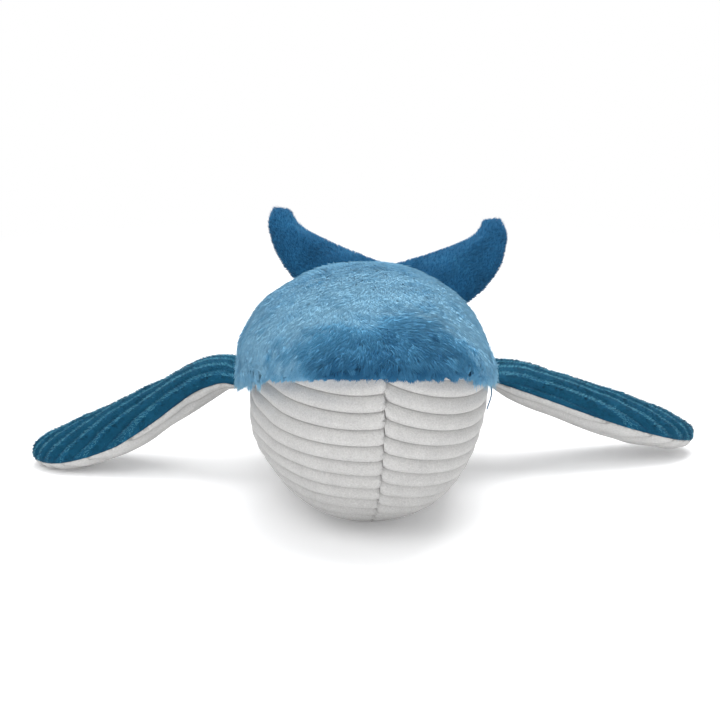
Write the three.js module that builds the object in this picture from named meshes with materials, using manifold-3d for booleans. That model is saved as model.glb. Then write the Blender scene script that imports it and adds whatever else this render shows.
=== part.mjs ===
// A stuffed toy whale lying on its belly, in millimetres: +Z up, nose towards -Y, tail towards +Y.
// Long pile fur covers the back, wide ribbed cord covers the belly, and the fins and flukes are
// flat pillows of two cloths. Every cover is a shell round its own stuffing. The fins, the tail
// stock and the flukes turn about rounded seams.

import * as THREE from 'three';
import { mergeVertices } from 'three/addons/utils/BufferGeometryUtils.js';
import Module from 'manifold-3d';

const wasm = await Module();
wasm.setup();

// Body: lengths run back from the nose tip, heights run up from the floor
const bodyLength = 395;
const bodyHalfWidth = 82;
const widestBack = 145;
const mouthHeight = 116;
const backHeight = 161;
const tailKeelHeight = 38;
const foreheadDepth = 130;
const chinDepth = 95;
const sideCurve = 38;
const sideCurveStart = 100;

// Cloth: the base cloth of every cover, the pile on it, and the cord's ribs, which stand on it
const clothThickness = 3;
const furPile = 6;
const furPileAtSeam = 1.5;
const ribPitch = 11;
const ribDepth = 1.8;
const ribFadeHeight = 14;
const sparePitches = 2;
const seamGap = 0.3;
const stuffingGap = 0.9;
const restCut = 0.5;
const coverThickness = clothThickness + ribDepth;

// Tail stock: its turning seam is a drum across the body
const tailSeamBack = 292;
const tailSeamHeight = 63;
const tailSeamRadius = 51;

// Fins: sizes of one fin from its shoulder seam to its tip
const finLength = 166;
const finHalfChord = 31;
const finHalfThickness = 14.4;
const finSeamRadius = 5;
const finSeamHalfLength = 27;
const finStandOff = 0.6;
const finBack = 194;
const finHeight = 68.1;
const finPitchLeft = -10;
const finPitchRight = 1;
const finSweepLeft = -12;
const finSweepRight = 11;

// Flukes: sizes of one lobe, measured in the slanted plane of the pair
const flukeHalfSpan = 100;
const flukeLength = 97;
const flukeHalfThickness = 9.5;
const flukeSeamRadius = 5.4;
const flukeSlant = 54;
const flukeHeight = 60;
const flukeTiltShare = 0.069;

// Eyes: a domed button on a post, held by a washer behind the cloth
const eyeRadius = 5.5;
const eyeDome = 3.6;
const eyeBack = 166;
const eyeAboveMouth = 17;
const eyePostRadius = 1.8;
const eyePostLength = 9;
const washerRadius = 8;
const washerThickness = 1.6;
const eyeClearance = 0.4;

// How fine the forms are cut
const bodySteps = 8;
const tailSteps = 4;
const roundSteps = 6;
const coreSteps = 7;
const coreRoundSteps = 3;
const finSteps = 7;
const finAcross = 6;
const flukeSteps = 5;
const flukeAcross = 6;
const eyeSides = 10;
const eyeArcSteps = 3;
const girthSamples = 48;
const spineSamples = 24;
const drumSides = 12;

// Shapes as shares: places run from 0 to 1 along a form, values are shares of the named size
const widthPlaceShares = [0, 0.24, 0.46, 0.68, 0.86, 1];
const widthShares = [1, 0.93, 0.74, 0.5, 0.36, 0.3];
const mouthPlaceShares = [0, 0.15, 0.3, 0.42, 0.58, 0.76, 0.89, 1];
const mouthShares = [1, 0.87, 0.76, 0.67, 0.57, 0.51, 0.5, 0.525];
const backPlaceShares = [0, 0.33, 0.48, 0.65, 0.8, 0.91, 1];
const backShares = [1, 1, 0.93, 0.78, 0.62, 0.55, 0.54];
const keelPlaceShares = [0, 0.24, 0.45, 0.56, 0.68, 0.8, 0.91, 1];
const keelShares = [0, 0, 0, 0.03, 0.21, 0.51, 0.81, 1];
const noseRoundness = 2.6;
const backRoundness = 0.95;
const bellyRoundness = 0.85;
const noseCrowding = 1.6;
const pileRiseShare = 0.22;
const firstGrooveShareLeft = 0.68;
const firstGrooveShareRight = 0.1;
const ribLevelShare = 1.2;
const ribSlopeLeft = -0.05;
const ribSlopeRight = 0.17;
const ribEndShare = 0.3;

const finPlaceShares = [0, 0.12, 0.35, 0.6, 0.8, 1];
const finChordShares = [0.87, 0.92, 0.98, 1, 0.96, 0.86];
const finThicknessShares = [0.42, 0.84, 0.97, 1.08, 0.92, 0.7];
const finDroopPlaceShares = [0, 0.25, 0.5, 0.75, 1];
const finDroopLeft = [2, 28, 31, 18, 7];
const finDroopRight = [18, 22, 22, 18, 18];
const finPitchShare = 0.6;
const finSweepPower = 1.4;
const finRoundingShare = 0.8;
const pillowRoundness = 0.55;

const flukePlaceShares = [0, 0.25, 0.5, 0.75, 1];
const leadingAcrossShares = [0, 0.3, 0.66, 0.89, 1];
const leadingAlongShares = [0, 0.05, 0.24, 0.53, 0.9];
const trailingAcrossShares = [0, 0.25, 0.5, 0.71, 0.82];
const trailingAlongShares = [0.49, 0.59, 0.7, 0.825, 1];
const flukeThicknessShares = [1, 1.04, 1, 0.84, 0.58];
const flukeRoundingShare = 0.92;

const furBlue = 0x52879f;
const bellyWhite = 0xd6d5d2;
const finTeal = 0x255f7c;
const finWhite = 0xc9ccd0;
const flukeBlue = 0x2d5e80;
const stuffingWhite = 0xf2f0ea;
const eyeBlack = 0x0b0b0d;
const washerGrey = 0xe2e2de;

const half = 1 / 2;
const quarterTurn = Math.PI / 2;

// A smooth line through stations: cubic pieces whose slopes follow both neighbours
function follow(place, places, values) {
  const last = places.length - 1;
  const t = Math.min(Math.max(place, places[0]), places[last]);
  let i = 0;
  while (i < last - 1 && t > places[i + 1]) i += 1;
  const slope = (k) => {
    if (k === 0) return (values[1] - values[0]) / (places[1] - places[0]);
    if (k === last) return (values[last] - values[last - 1]) / (places[last] - places[last - 1]);
    const before = places[k] - places[k - 1];
    const after = places[k + 1] - places[k];
    const rise = (values[k] - values[k - 1]) / before;
    const next = (values[k + 1] - values[k]) / after;
    return (rise * after + next * before) / (before + after);
  };
  const step = places[i + 1] - places[i];
  const s = (t - places[i]) / step;
  const a = values[i];
  const b = values[i + 1];
  const bend = s * s * (3 - 2 * s);
  const leave = s * (1 - s) * (1 - s) * step * slope(i);
  const arrive = s * s * (s - 1) * step * slope(i + 1);
  return a + (b - a) * bend + leave + arrive;
}

const mix = (a, b, t) => a + (b - a) * t;
const fade = (t) => THREE.MathUtils.smoothstep(t, 0, 1);

// Collects triangles, drops the ones that close up to a line, and turns the surface outwards
class Skin {
  constructor() {
    this.points = [];
    this.faces = [];
    this.index = new Map();
  }

  point(p) {
    const key = [p.x, p.y, p.z].map((v) => Math.round(v * 1e4)).join();
    if (!this.index.has(key)) {
      this.index.set(key, this.points.length);
      this.points.push(p.clone());
    }
    return this.index.get(key);
  }

  triangle(a, b, c) {
    const corners = [this.point(a), this.point(b), this.point(c)];
    if (new Set(corners).size === corners.length) this.faces.push(corners);
  }

  quad(a, b, c, d) {
    this.triangle(a, b, c);
    this.triangle(a, c, d);
  }

  grid(rows) {
    for (let i = 0; i + 1 < rows.length; i += 1) {
      for (let j = 0; j + 1 < rows[i].length; j += 1) {
        this.quad(rows[i][j], rows[i + 1][j], rows[i + 1][j + 1], rows[i][j + 1]);
      }
    }
  }

  solid() {
    let volume = 0;
    for (const [a, b, c] of this.faces) {
      volume += this.points[a].dot(this.points[b].clone().cross(this.points[c]));
    }
    const faces = volume > 0 ? this.faces : this.faces.map(([a, b, c]) => [a, c, b]);
    const vertProperties = new Float32Array(this.points.flatMap((p) => [p.x, p.y, p.z]));
    const triVerts = new Uint32Array(faces.flat());
    return new wasm.Manifold(new wasm.Mesh({ numProp: 3, vertProperties, triVerts }));
  }
}

// A closed solid between an open sheet of rows and a line of points behind it
function solidBehind(rows, spine) {
  const skin = new Skin();
  const last = rows.length - 1;
  skin.grid(rows);
  for (let i = 0; i < last; i += 1) {
    const end = rows[i].length - 1;
    skin.quad(rows[i][0], spine[i], spine[i + 1], rows[i + 1][0]);
    skin.quad(rows[i + 1][end], spine[i + 1], spine[i], rows[i][end]);
  }
  for (let j = 0; j + 1 < rows[0].length; j += 1) {
    skin.triangle(spine[0], rows[0][j], rows[0][j + 1]);
    skin.triangle(spine[last], rows[last][j + 1], rows[last][j]);
  }
  return skin.solid();
}

function solidOf(geometry) {
  const plain = geometry.clone();
  plain.deleteAttribute('normal');
  plain.deleteAttribute('uv');
  const merged = mergeVertices(plain);
  const vertProperties = new Float32Array(merged.attributes.position.array);
  const triVerts = new Uint32Array(merged.index.array);
  return new wasm.Manifold(new wasm.Mesh({ numProp: 3, vertProperties, triVerts }));
}

function geometryOf(solid) {
  const { vertProperties, triVerts } = solid.getMesh();
  const geometry = new THREE.BufferGeometry();
  geometry.setAttribute('position', new THREE.BufferAttribute(vertProperties, 3));
  geometry.setIndex(new THREE.BufferAttribute(triVerts, 1));
  geometry.computeVertexNormals();
  return geometry;
}

// Heights and widths of the body at a distance behind the nose
const mouthAt = (y) => mouthHeight * follow(y / bodyLength, mouthPlaceShares, mouthShares);
const backAt = (y) => backHeight * follow(y / bodyLength, backPlaceShares, backShares);
const keelAt = (y) => tailKeelHeight * follow(y / bodyLength, keelPlaceShares, keelShares) - restCut;
const asideAt = (y) => sideCurve * (Math.max(y - sideCurveStart, 0) / (bodyLength - sideCurveStart)) ** 2;

function widthShareAt(y, front) {
  if (y >= widestBack) {
    return follow((y - widestBack) / (bodyLength - widestBack), widthPlaceShares, widthShares);
  }
  const ahead = Math.min((widestBack - y) / (widestBack - front), 1);
  return (1 - ahead ** noseRoundness) ** (1 / noseRoundness);
}

// One quarter of the body. run goes from the nose seam to the tail end and turn from the mouth
// seam to the middle. Sections are superellipses, and each line of equal turn starts on the nose
// seam, as a plank starts on a ship's stem. sink moves the surface into the body, bare leaves
// the pile off, and short stops ahead of the tail end.
function bodyPoint({ side, upper, run, turn, sink = 0, edge = 0, bare = false, short = 0 }) {
  const angle = turn * quarterTurn;
  const depth = upper ? foreheadDepth : chinDepth;
  const front = mix(sink, depth, 1 - Math.cos(angle));
  const y = mix(front, bodyLength - short, run);
  const roundness = upper ? backRoundness : bellyRoundness;
  const out = turn < 1 ? Math.cos(angle) ** roundness : 0;
  const over = Math.sin(angle) ** roundness;
  const furred = upper && !bare;
  const pile = furred ? mix(furPileAtSeam, furPile, fade(turn / pileRiseShare)) : 0;
  const halfWidth = bodyHalfWidth + pile - sink;
  const mouth = mouthAt(y) + (upper ? edge : -edge);
  const far = upper ? backAt(y) - sink - (furred ? 0 : furPile) : keelAt(y) + sink;
  const x = halfWidth * widthShareAt(y, front) * out + edge;
  return new THREE.Vector3(side * x + asideAt(y), y, mix(mouth, far, over));
}

// The runs of the rows, closer together at the nose
const runs = Array.from({ length: bodySteps + tailSteps + 1 }, (_, i) => (
  (i / (bodySteps + tailSteps)) ** noseCrowding
));

const middleLine = (side, upper) => runs.map((run) => {
  const y = mix(clothThickness, bodyLength, run);
  const edge = seamGap * half;
  const lift = upper ? edge : -edge;
  return new THREE.Vector3(side * edge + asideAt(y), y, mouthAt(y) + lift);
});

function furQuarter(side) {
  const rows = runs.map((run) => Array.from({ length: roundSteps + 1 }, (_, j) => (
    bodyPoint({ side, upper: true, run, turn: j / roundSteps, edge: seamGap * half })
  )));
  return solidBehind(rows, middleLine(side, true));
}

// The ribs run back from the nose seam like planks, nearly level, so the falling mouth seam cuts
// them off one by one above and the keel below. Their distances are measured over the belly.
function ribbedQuarter(side, firstGroove, slope) {
  const place = { side, upper: false, edge: seamGap * half };
  const girths = runs.map((run) => {
    const lengths = [0];
    let before = bodyPoint({ ...place, run, turn: 0 });
    for (let k = 1; k <= girthSamples; k += 1) {
      const next = bodyPoint({ ...place, run, turn: k / girthSamples });
      lengths.push(lengths[k - 1] + next.distanceTo(before));
      before = next;
    }
    return lengths;
  });
  const turnAt = (lengths, distance) => {
    if (distance <= 0) return 0;
    let k = 0;
    while (k < girthSamples && lengths[k + 1] < distance) k += 1;
    if (k === girthSamples) return 1;
    return (k + (distance - lengths[k]) / (lengths[k + 1] - lengths[k])) / girthSamples;
  };
  const rises = runs.map((run) => {
    const y = run * bodyLength;
    const out = bodyHalfWidth * widthShareAt(y, 0);
    return (mouthHeight - mouthAt(y)) * ribLevelShare - out * slope;
  });
  const reach = Math.max(...girths.map((lengths, i) => lengths[girthSamples] + rises[i]));
  const lines = [];
  for (let start = (firstGroove - sparePitches) * ribPitch; start < reach; start += ribPitch) {
    lines.push({ distance: start, groove: ribDepth });
    lines.push({ distance: start + ribPitch / 3, groove: 0 });
    lines.push({ distance: start + ribPitch * 2 / 3, groove: 0 });
  }
  lines.push({ distance: reach + ribPitch, groove: 0 });
  const rows = runs.map((run, i) => lines.map(({ distance, groove }) => {
    const turn = turnAt(girths[i], distance - rises[i]);
    const plain = bodyPoint({ ...place, run, turn });
    if (!groove || turn === 0 || turn === 1 || run === 1) return plain;
    const sink = groove * fade(plain.z / ribFadeHeight) * fade((1 - run) / ribEndShare);
    return bodyPoint({ ...place, run, turn, sink });
  }));
  return solidBehind(rows, middleLine(side, false));
}

// The stuffing's form: four quarters that share their edges, closed at the tail end
function bodyCore(sink) {
  const skin = new Skin();
  const coreRuns = Array.from({ length: coreSteps + 1 }, (_, i) => (i / coreSteps) ** noseCrowding);
  for (const side of [-1, 1]) {
    for (const upper of [true, false]) {
      const rows = coreRuns.map((run) => Array.from({ length: coreRoundSteps + 1 }, (_, j) => (
        bodyPoint({ side, upper, run, turn: j / coreRoundSteps, sink, bare: true, short: sink })
      )));
      const flip = (side > 0) === upper;
      skin.grid(flip ? rows : rows.map((row) => [...row].reverse()));
      const rim = flip ? rows[coreSteps] : [...rows[coreSteps]].reverse();
      const y = rim[0].y;
      const centre = new THREE.Vector3(asideAt(y), y, mouthAt(y));
      for (let j = 0; j < coreRoundSteps; j += 1) skin.triangle(centre, rim[j + 1], rim[j]);
    }
  }
  return skin.solid();
}

// The space behind the tail's turning seam: a drum across the body and all that lies behind it
function tailZone(radius) {
  const reach = bodyLength;
  const outline = new THREE.Shape();
  outline.moveTo(tailSeamBack, tailSeamHeight + reach);
  outline.lineTo(tailSeamBack, tailSeamHeight + radius);
  outline.absarc(tailSeamBack, tailSeamHeight, radius, quarterTurn, quarterTurn * 3, false);
  outline.lineTo(tailSeamBack, tailSeamHeight - reach);
  outline.lineTo(tailSeamBack + reach, tailSeamHeight - reach);
  outline.lineTo(tailSeamBack + reach, tailSeamHeight + reach);
  const settings = { depth: reach * 2, bevelEnabled: false, curveSegments: drumSides };
  const drum = new THREE.ExtrudeGeometry(outline, settings);
  const across = new THREE.Matrix4().makeBasis(
    new THREE.Vector3(0, 1, 0),
    new THREE.Vector3(0, 0, 1),
    new THREE.Vector3(1, 0, 0),
  );
  drum.applyMatrix4(across.setPosition(-reach, 0, 0));
  return solidOf(drum);
}

const floorBlock = (() => {
  const reach = bodyLength * 3;
  const block = new THREE.BoxGeometry(reach, reach, reach);
  block.translate(0, 0, -reach * half);
  return solidOf(block);
})();

// The fin in its own axes: x out along the span, y back along the chord, z up. Its half chord
// and half thickness at a place between the shoulder seam and the tip, with a round tip.
function finSection(place, sink) {
  const past = Math.max((place - finRoundingShare) / (1 - finRoundingShare), 0);
  const cap = Math.sqrt(Math.max(1 - past * past, 0));
  const chord = finHalfChord * follow(place, finPlaceShares, finChordShares) * cap;
  const thickness = finHalfThickness * follow(place, finPlaceShares, finThicknessShares);
  return {
    chord: Math.max(chord - sink, 0),
    thickness: Math.max(thickness * Math.sqrt(cap) - sink, 0),
  };
}

// The fin's middle line droops, and lean is the angle of the cloth at a place along it
function finSpine(place, droop) {
  const leanAt = (p) => THREE.MathUtils.degToRad(follow(p, finDroopPlaceShares, droop));
  const step = place * finLength / spineSamples;
  let x = 0;
  let z = 0;
  for (let k = 0; k < spineSamples; k += 1) {
    const lean = leanAt(place * (k + half) / spineSamples);
    x += Math.cos(lean) * step;
    z -= Math.sin(lean) * step;
  }
  return { x, z, lean: leanAt(place) };
}

function finPoint({ place, ahead = 0, across, rise, sweep, pitch, droop }) {
  const spine = finSpine(place, droop);
  const twist = THREE.MathUtils.degToRad(pitch) * fade(place / finPitchShare);
  const back = sweep * place ** finSweepPower + across * Math.cos(twist) + rise * Math.sin(twist);
  const up = rise * Math.cos(twist) - across * Math.sin(twist);
  const x = spine.x - ahead + up * Math.sin(spine.lean);
  return new THREE.Vector3(x, back, spine.z + up * Math.cos(spine.lean));
}

// The stations of a fin: the round shoulder seam first, then the span, closer at the tip
function finStations(sink) {
  const turns = [1 / 3, 2 / 3].map((share) => share * quarterTurn);
  const rounded = sink ? [] : turns.map((angle) => ({
    place: 0,
    ahead: finSeamRadius * Math.cos(angle),
    chord: finSeamHalfLength,
    thickness: finSeamRadius * Math.sin(angle),
  }));
  const margin = sink / finLength;
  const span = Array.from({ length: finSteps + 1 }, (_, i) => {
    const place = mix(margin, 1 - margin, Math.sin(i / finSteps * quarterTurn));
    return { place, ahead: 0, ...finSection(place, sink) };
  });
  return [...rounded, ...span];
}

const ribLines = (reach) => {
  const count = Math.ceil(reach / ribPitch);
  const lines = [];
  for (let k = -count; k <= count; k += 1) {
    lines.push({ distance: k * ribPitch, groove: ribDepth });
    lines.push({ distance: (k + 1 / 3) * ribPitch, groove: 0 });
    lines.push({ distance: (k + 2 / 3) * ribPitch, groove: 0 });
  }
  return lines;
};

const evenLines = (count) => Array.from({ length: count + 1 }, (_, j) => (
  { share: Math.sin((j / count * 2 - 1) * quarterTurn), groove: 0 }
));

// One cloth of a pillow as a solid down to the pillow's middle sheet. stations give half chord
// and half thickness, and at(station, across, rise) places a point.
function pillowRows({ stations, lines, face, gap, at }) {
  return stations.map((station) => lines.map(({ distance, share, groove }) => {
    const { chord, thickness } = station;
    const wide = share === undefined ? distance : share * chord;
    const across = THREE.MathUtils.clamp(wide, -chord, chord);
    const q = chord > 0 ? across / chord : 1;
    const full = Math.max(1 - q * q, 0) ** pillowRoundness;
    const cut = groove * fade((full * thickness - clothThickness) / clothThickness);
    return at(station, across, face * (gap + full * thickness - cut));
  }));
}

function pillowHalf({ stations, lines, face, at }) {
  const gap = seamGap * half;
  const rows = pillowRows({ stations, lines, face, gap, at });
  return solidBehind(rows, stations.map((station) => at(station, 0, face * gap)));
}

function pillowCore({ stations, lines, at }) {
  const skin = new Skin();
  const top = pillowRows({ stations, lines, face: 1, gap: 0, at });
  const low = pillowRows({ stations, lines, face: -1, gap: 0, at });
  const ring = top.map((row, i) => [...row, ...[...low[i]].reverse().slice(1)]);
  skin.grid(ring);
  const ends = [[ring[0], 1], [ring[ring.length - 1], -1]];
  for (const [rim, way] of ends) {
    for (let j = 1; j + 1 < rim.length; j += 1) {
      if (way > 0) skin.triangle(rim[0], rim[j], rim[j + 1]);
      else skin.triangle(rim[0], rim[j + 1], rim[j]);
    }
  }
  return skin.solid();
}

// The plan of one fluke lobe: its leading edge starts at the seam with the tail, and both
// edges start at the middle of the pair and meet at the round tip
function flukeStations(sink) {
  return Array.from({ length: flukeSteps + 1 }, (_, i) => {
    const place = (1 - sink / flukeLength) * Math.sin(i / flukeSteps * quarterTurn);
    const read = (shares) => follow(place, flukePlaceShares, shares);
    const lead = new THREE.Vector2(
      flukeHalfSpan * read(leadingAcrossShares),
      flukeLength * read(leadingAlongShares),
    );
    const trail = new THREE.Vector2(
      flukeHalfSpan * read(trailingAcrossShares),
      flukeLength * read(trailingAlongShares),
    );
    const past = Math.max((place - flukeRoundingShare) / (1 - flukeRoundingShare), 0);
    const cap = Math.sqrt(Math.max(1 - past * past, 0));
    const chord = lead.distanceTo(trail) * half * cap;
    const thickness = flukeHalfThickness * read(flukeThicknessShares) * Math.sqrt(cap);
    return {
      place,
      middle: lead.clone().add(trail).multiplyScalar(half),
      way: trail.clone().sub(lead).normalize(),
      chord: Math.max(chord - sink, 0),
      thickness: Math.max(thickness - sink, 0),
    };
  });
}

// The pair lies a little askew: tilt draws one lobe further along and the other one back
const flukePoint = (inset, tilt) => (station, across, rise) => {
  const edge = mix(inset, seamGap * half, station.place);
  const x = Math.max(station.middle.x + station.way.x * across, 0) + edge;
  const y = station.middle.y + station.way.y * across - flukeSeamRadius;
  return new THREE.Vector3(x, y + x * tilt, rise);
};

// A button eye on its post, turned about Y, with its back just off the cloth
function eyeGeometry() {
  const rim = eyeDome * half;
  const points = [new THREE.Vector2(0, -eyePostLength)];
  points.push(new THREE.Vector2(eyePostRadius, -eyePostLength));
  points.push(new THREE.Vector2(eyePostRadius, seamGap));
  points.push(new THREE.Vector2(eyeRadius, seamGap));
  for (let k = 0; k < eyeArcSteps; k += 1) {
    const angle = k / eyeArcSteps * quarterTurn;
    const height = seamGap + rim * half + eyeDome * Math.sin(angle);
    points.push(new THREE.Vector2(eyeRadius * Math.cos(angle), height));
  }
  points.push(new THREE.Vector2(0, seamGap + rim * half + eyeDome));
  return new THREE.LatheGeometry(points, eyeSides);
}

function washerGeometry() {
  const inner = eyePostRadius + seamGap;
  const outline = [
    [inner, 0], [washerRadius, 0], [washerRadius, washerThickness], [inner, washerThickness],
    [inner, 0],
  ];
  return new THREE.LatheGeometry(outline.map(([r, h]) => new THREE.Vector2(r, h)), eyeSides);
}

// Where an eye sits: a point on the base cloth of the back, and the way that the cloth faces
function eyeSeat(side) {
  const mouth = mouthAt(eyeBack);
  const rise = eyeAboveMouth / (backAt(eyeBack) - furPile - mouth);
  const turn = Math.asin(rise ** (1 / backRoundness)) / quarterTurn;
  const front = mix(0, foreheadDepth, 1 - Math.cos(turn * quarterTurn));
  const run = (eyeBack - front) / (bodyLength - front);
  const small = 1 / girthSamples;
  const at = (r, t) => bodyPoint({ side, upper: true, run: r, turn: t, bare: true });
  const centre = at(run, turn);
  const back = at(run + small, turn).sub(centre);
  const up = at(run, turn + small).sub(centre);
  const facing = back.cross(up).normalize().multiplyScalar(side);
  const toward = new THREE.Quaternion().setFromUnitVectors(new THREE.Vector3(0, 1, 0), facing);
  return { centre, facing, toward };
}

function plug(seat, radius, from, to) {
  const cylinder = new THREE.CylinderGeometry(radius, radius, to - from, eyeSides);
  cylinder.translate(0, mix(from, to, half), 0);
  cylinder.applyQuaternion(seat.toward);
  cylinder.translate(seat.centre.x, seat.centre.y, seat.centre.z);
  return solidOf(cylinder);
}

const whale = new THREE.Group();

function addMesh(parent, name, geometry, colour, roughness) {
  const material = new THREE.MeshStandardMaterial({ color: colour, roughness, metalness: 0 });
  const mesh = new THREE.Mesh(geometry, material);
  mesh.name = name;
  parent.add(mesh);
  return mesh;
}

function buildBody() {
  const hollow = bodyCore(coverThickness);
  const stuffing = bodyCore(coverThickness + stuffingGap);
  const behind = tailZone(tailSeamRadius - seamGap * half);
  const ahead = tailZone(tailSeamRadius + seamGap * half);
  let torsoStuffing = stuffing.subtract(ahead);
  const sides = [
    ['left', -1, firstGrooveShareLeft, ribSlopeLeft],
    ['right', 1, firstGrooveShareRight, ribSlopeRight],
  ];
  for (const [word, side, firstGroove, slope] of sides) {
    const seat = eyeSeat(side);
    const postEnd = -eyePostLength - eyeClearance;
    const postHole = plug(seat, eyePostRadius + eyeClearance, postEnd, eyeClearance);
    const pocket = plug(seat, eyeRadius + eyeClearance, 0, furPile * 3);
    const washerTop = -coverThickness - seamGap;
    const washerSpace = plug(seat, washerRadius + eyeClearance, postEnd, -coverThickness);
    const fur = furQuarter(side).subtract(hollow);
    const torsoFur = fur.subtract(ahead).subtract(postHole).subtract(pocket).subtract(washerSpace);
    addMesh(whale, `back_fur_${word}`, geometryOf(torsoFur), furBlue, 1);
    addMesh(whale, `tail_fur_${word}`, geometryOf(fur.intersect(behind)), furBlue, 1);
    const belly = ribbedQuarter(side, firstGroove, slope).subtract(hollow).subtract(floorBlock);
    addMesh(whale, `belly_ribbed_${word}`, geometryOf(belly.subtract(ahead)), bellyWhite, 0.9);
    addMesh(whale, `tail_belly_${word}`, geometryOf(belly.intersect(behind)), bellyWhite, 0.9);
    torsoStuffing = torsoStuffing.subtract(postHole).subtract(washerSpace);
    const eye = addMesh(whale, `eye_${word}`, eyeGeometry(), eyeBlack, 0.15);
    eye.position.copy(seat.centre);
    eye.quaternion.copy(seat.toward);
    const washer = addMesh(whale, `eye_washer_${word}`, washerGeometry(), washerGrey, 0.5);
    washer.position.copy(seat.centre).addScaledVector(seat.facing, washerTop - washerThickness);
    washer.quaternion.copy(seat.toward);
  }
  addMesh(whale, 'torso_stuffing', geometryOf(torsoStuffing), stuffingWhite, 1);
  addMesh(whale, 'tail_stuffing', geometryOf(stuffing.intersect(behind)), stuffingWhite, 1);
}

// A fin's seam line lies along the body's side, which it follows in plan
function finSeat(side) {
  const flank = (y) => bodyHalfWidth * widthShareAt(y, 0) + side * asideAt(y);
  const drawIn = flank(finBack - finSeamHalfLength) - flank(finBack + finSeamHalfLength);
  return {
    angle: Math.atan(drawIn / (finSeamHalfLength * 2)),
    out: flank(finBack) + finStandOff + seamGap + finSeamRadius,
  };
}

function buildFin(word, side, lie) {
  const seat = finSeat(side);
  const at = (station, across, rise) => {
    const { place, ahead } = station;
    const point = finPoint({ place, ahead, across, rise, ...lie });
    point.applyAxisAngle(new THREE.Vector3(0, 0, 1), seat.angle);
    return new THREE.Vector3(side * (point.x + seat.out), point.y + finBack, point.z + finHeight);
  };
  const ribs = ribLines(finHalfChord);
  const even = evenLines(finAcross);
  const outside = finStations(0);
  const hollow = pillowCore({ stations: finStations(clothThickness), lines: even, at });
  const core = finStations(clothThickness + stuffingGap);
  const top = pillowHalf({ stations: outside, lines: ribs, face: 1, at }).subtract(hollow);
  const low = pillowHalf({ stations: outside, lines: even, face: -1, at }).subtract(hollow);
  const filling = pillowCore({ stations: core, lines: even, at });
  addMesh(whale, `fin_${word}_top`, geometryOf(top), finTeal, 0.9);
  addMesh(whale, `fin_${word}_underside`, geometryOf(low.subtract(floorBlock)), finWhite, 0.9);
  addMesh(whale, `fin_${word}_filling`, geometryOf(filling), stuffingWhite, 1);
}

function buildFluke(word, side) {
  const slant = THREE.MathUtils.degToRad(flukeSlant);
  const tilt = -side * flukeTiltShare;
  const placeAt = (inset) => {
    const flat = flukePoint(inset, tilt);
    return (station, across, rise) => {
      const point = flat(station, across, rise);
      return new THREE.Vector3(
        side * point.x + asideAt(bodyLength),
        bodyLength + seamGap + flukeSeamRadius + point.y * Math.cos(slant) - rise * Math.sin(slant),
        flukeHeight + point.y * Math.sin(slant) + rise * Math.cos(slant),
      );
    };
  };
  const at = placeAt(seamGap * half);
  const lines = evenLines(flukeAcross);
  const hollowAt = placeAt(clothThickness);
  const fillingAt = placeAt(clothThickness + stuffingGap);
  const hollow = pillowCore({ stations: flukeStations(clothThickness), lines, at: hollowAt });
  const core = flukeStations(clothThickness + stuffingGap);
  const filling = pillowCore({ stations: core, lines, at: fillingAt });
  const outside = flukeStations(0);
  const top = pillowHalf({ stations: outside, lines, face: 1, at }).subtract(hollow);
  const low = pillowHalf({ stations: outside, lines, face: -1, at }).subtract(hollow);
  addMesh(whale, `fluke_${word}_top`, geometryOf(top), flukeBlue, 0.9);
  addMesh(whale, `fluke_${word}_underside`, geometryOf(low), flukeBlue, 0.9);
  addMesh(whale, `fluke_${word}_filling`, geometryOf(filling), stuffingWhite, 1);
}

buildBody();
buildFin('left', -1, { sweep: finSweepLeft, pitch: finPitchLeft, droop: finDroopLeft });
buildFin('right', 1, { sweep: finSweepRight, pitch: finPitchRight, droop: finDroopRight });
buildFluke('left', -1);
buildFluke('right', 1);

// The whale's own origin is on the floor under its middle
const bounds = new THREE.Box3().setFromObject(whale);
const middle = bounds.getCenter(new THREE.Vector3());
whale.position.set(-middle.x, -middle.y, 0);

export default whale;
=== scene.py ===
import bmesh
import bpy
import numpy as np
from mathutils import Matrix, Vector


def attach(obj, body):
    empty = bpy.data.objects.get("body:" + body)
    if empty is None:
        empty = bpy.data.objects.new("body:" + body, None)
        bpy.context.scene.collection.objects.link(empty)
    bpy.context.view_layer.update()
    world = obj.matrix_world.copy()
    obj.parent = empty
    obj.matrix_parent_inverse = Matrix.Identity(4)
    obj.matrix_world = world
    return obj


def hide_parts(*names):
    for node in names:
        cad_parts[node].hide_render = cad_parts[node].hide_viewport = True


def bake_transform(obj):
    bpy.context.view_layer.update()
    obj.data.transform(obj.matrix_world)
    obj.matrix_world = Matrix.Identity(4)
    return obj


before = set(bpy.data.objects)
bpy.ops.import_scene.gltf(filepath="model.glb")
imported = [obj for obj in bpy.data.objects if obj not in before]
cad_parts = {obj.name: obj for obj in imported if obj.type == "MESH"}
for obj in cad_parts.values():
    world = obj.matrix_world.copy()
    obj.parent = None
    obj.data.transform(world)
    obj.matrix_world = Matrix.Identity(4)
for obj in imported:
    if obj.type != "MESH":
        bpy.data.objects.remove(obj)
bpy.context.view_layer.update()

scene = bpy.context.scene
scene.view_settings.view_transform = "Standard"
quarterTurn = np.pi / 2
print("frame loaded")


# Shapes are worked out in mm: x across, y back from the nose tip, z up from the floor. The part's
# own origin lies this far from the nose tip and the head's middle line.
originShift = np.array([-5.352, -228.983, 0.0])


def fade(t):
    # rises smoothly from 0 to 1 while t goes from 0 to 1
    t = np.clip(t, 0, 1)
    return t * t * (3 - 2 * t)


def mix(a, b, t):
    # a where t is 0 and b where it is 1
    return a + (b - a) * t


def unit(v):
    return v / np.maximum(np.linalg.norm(v, axis=-1, keepdims=True), 1e-9)


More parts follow.
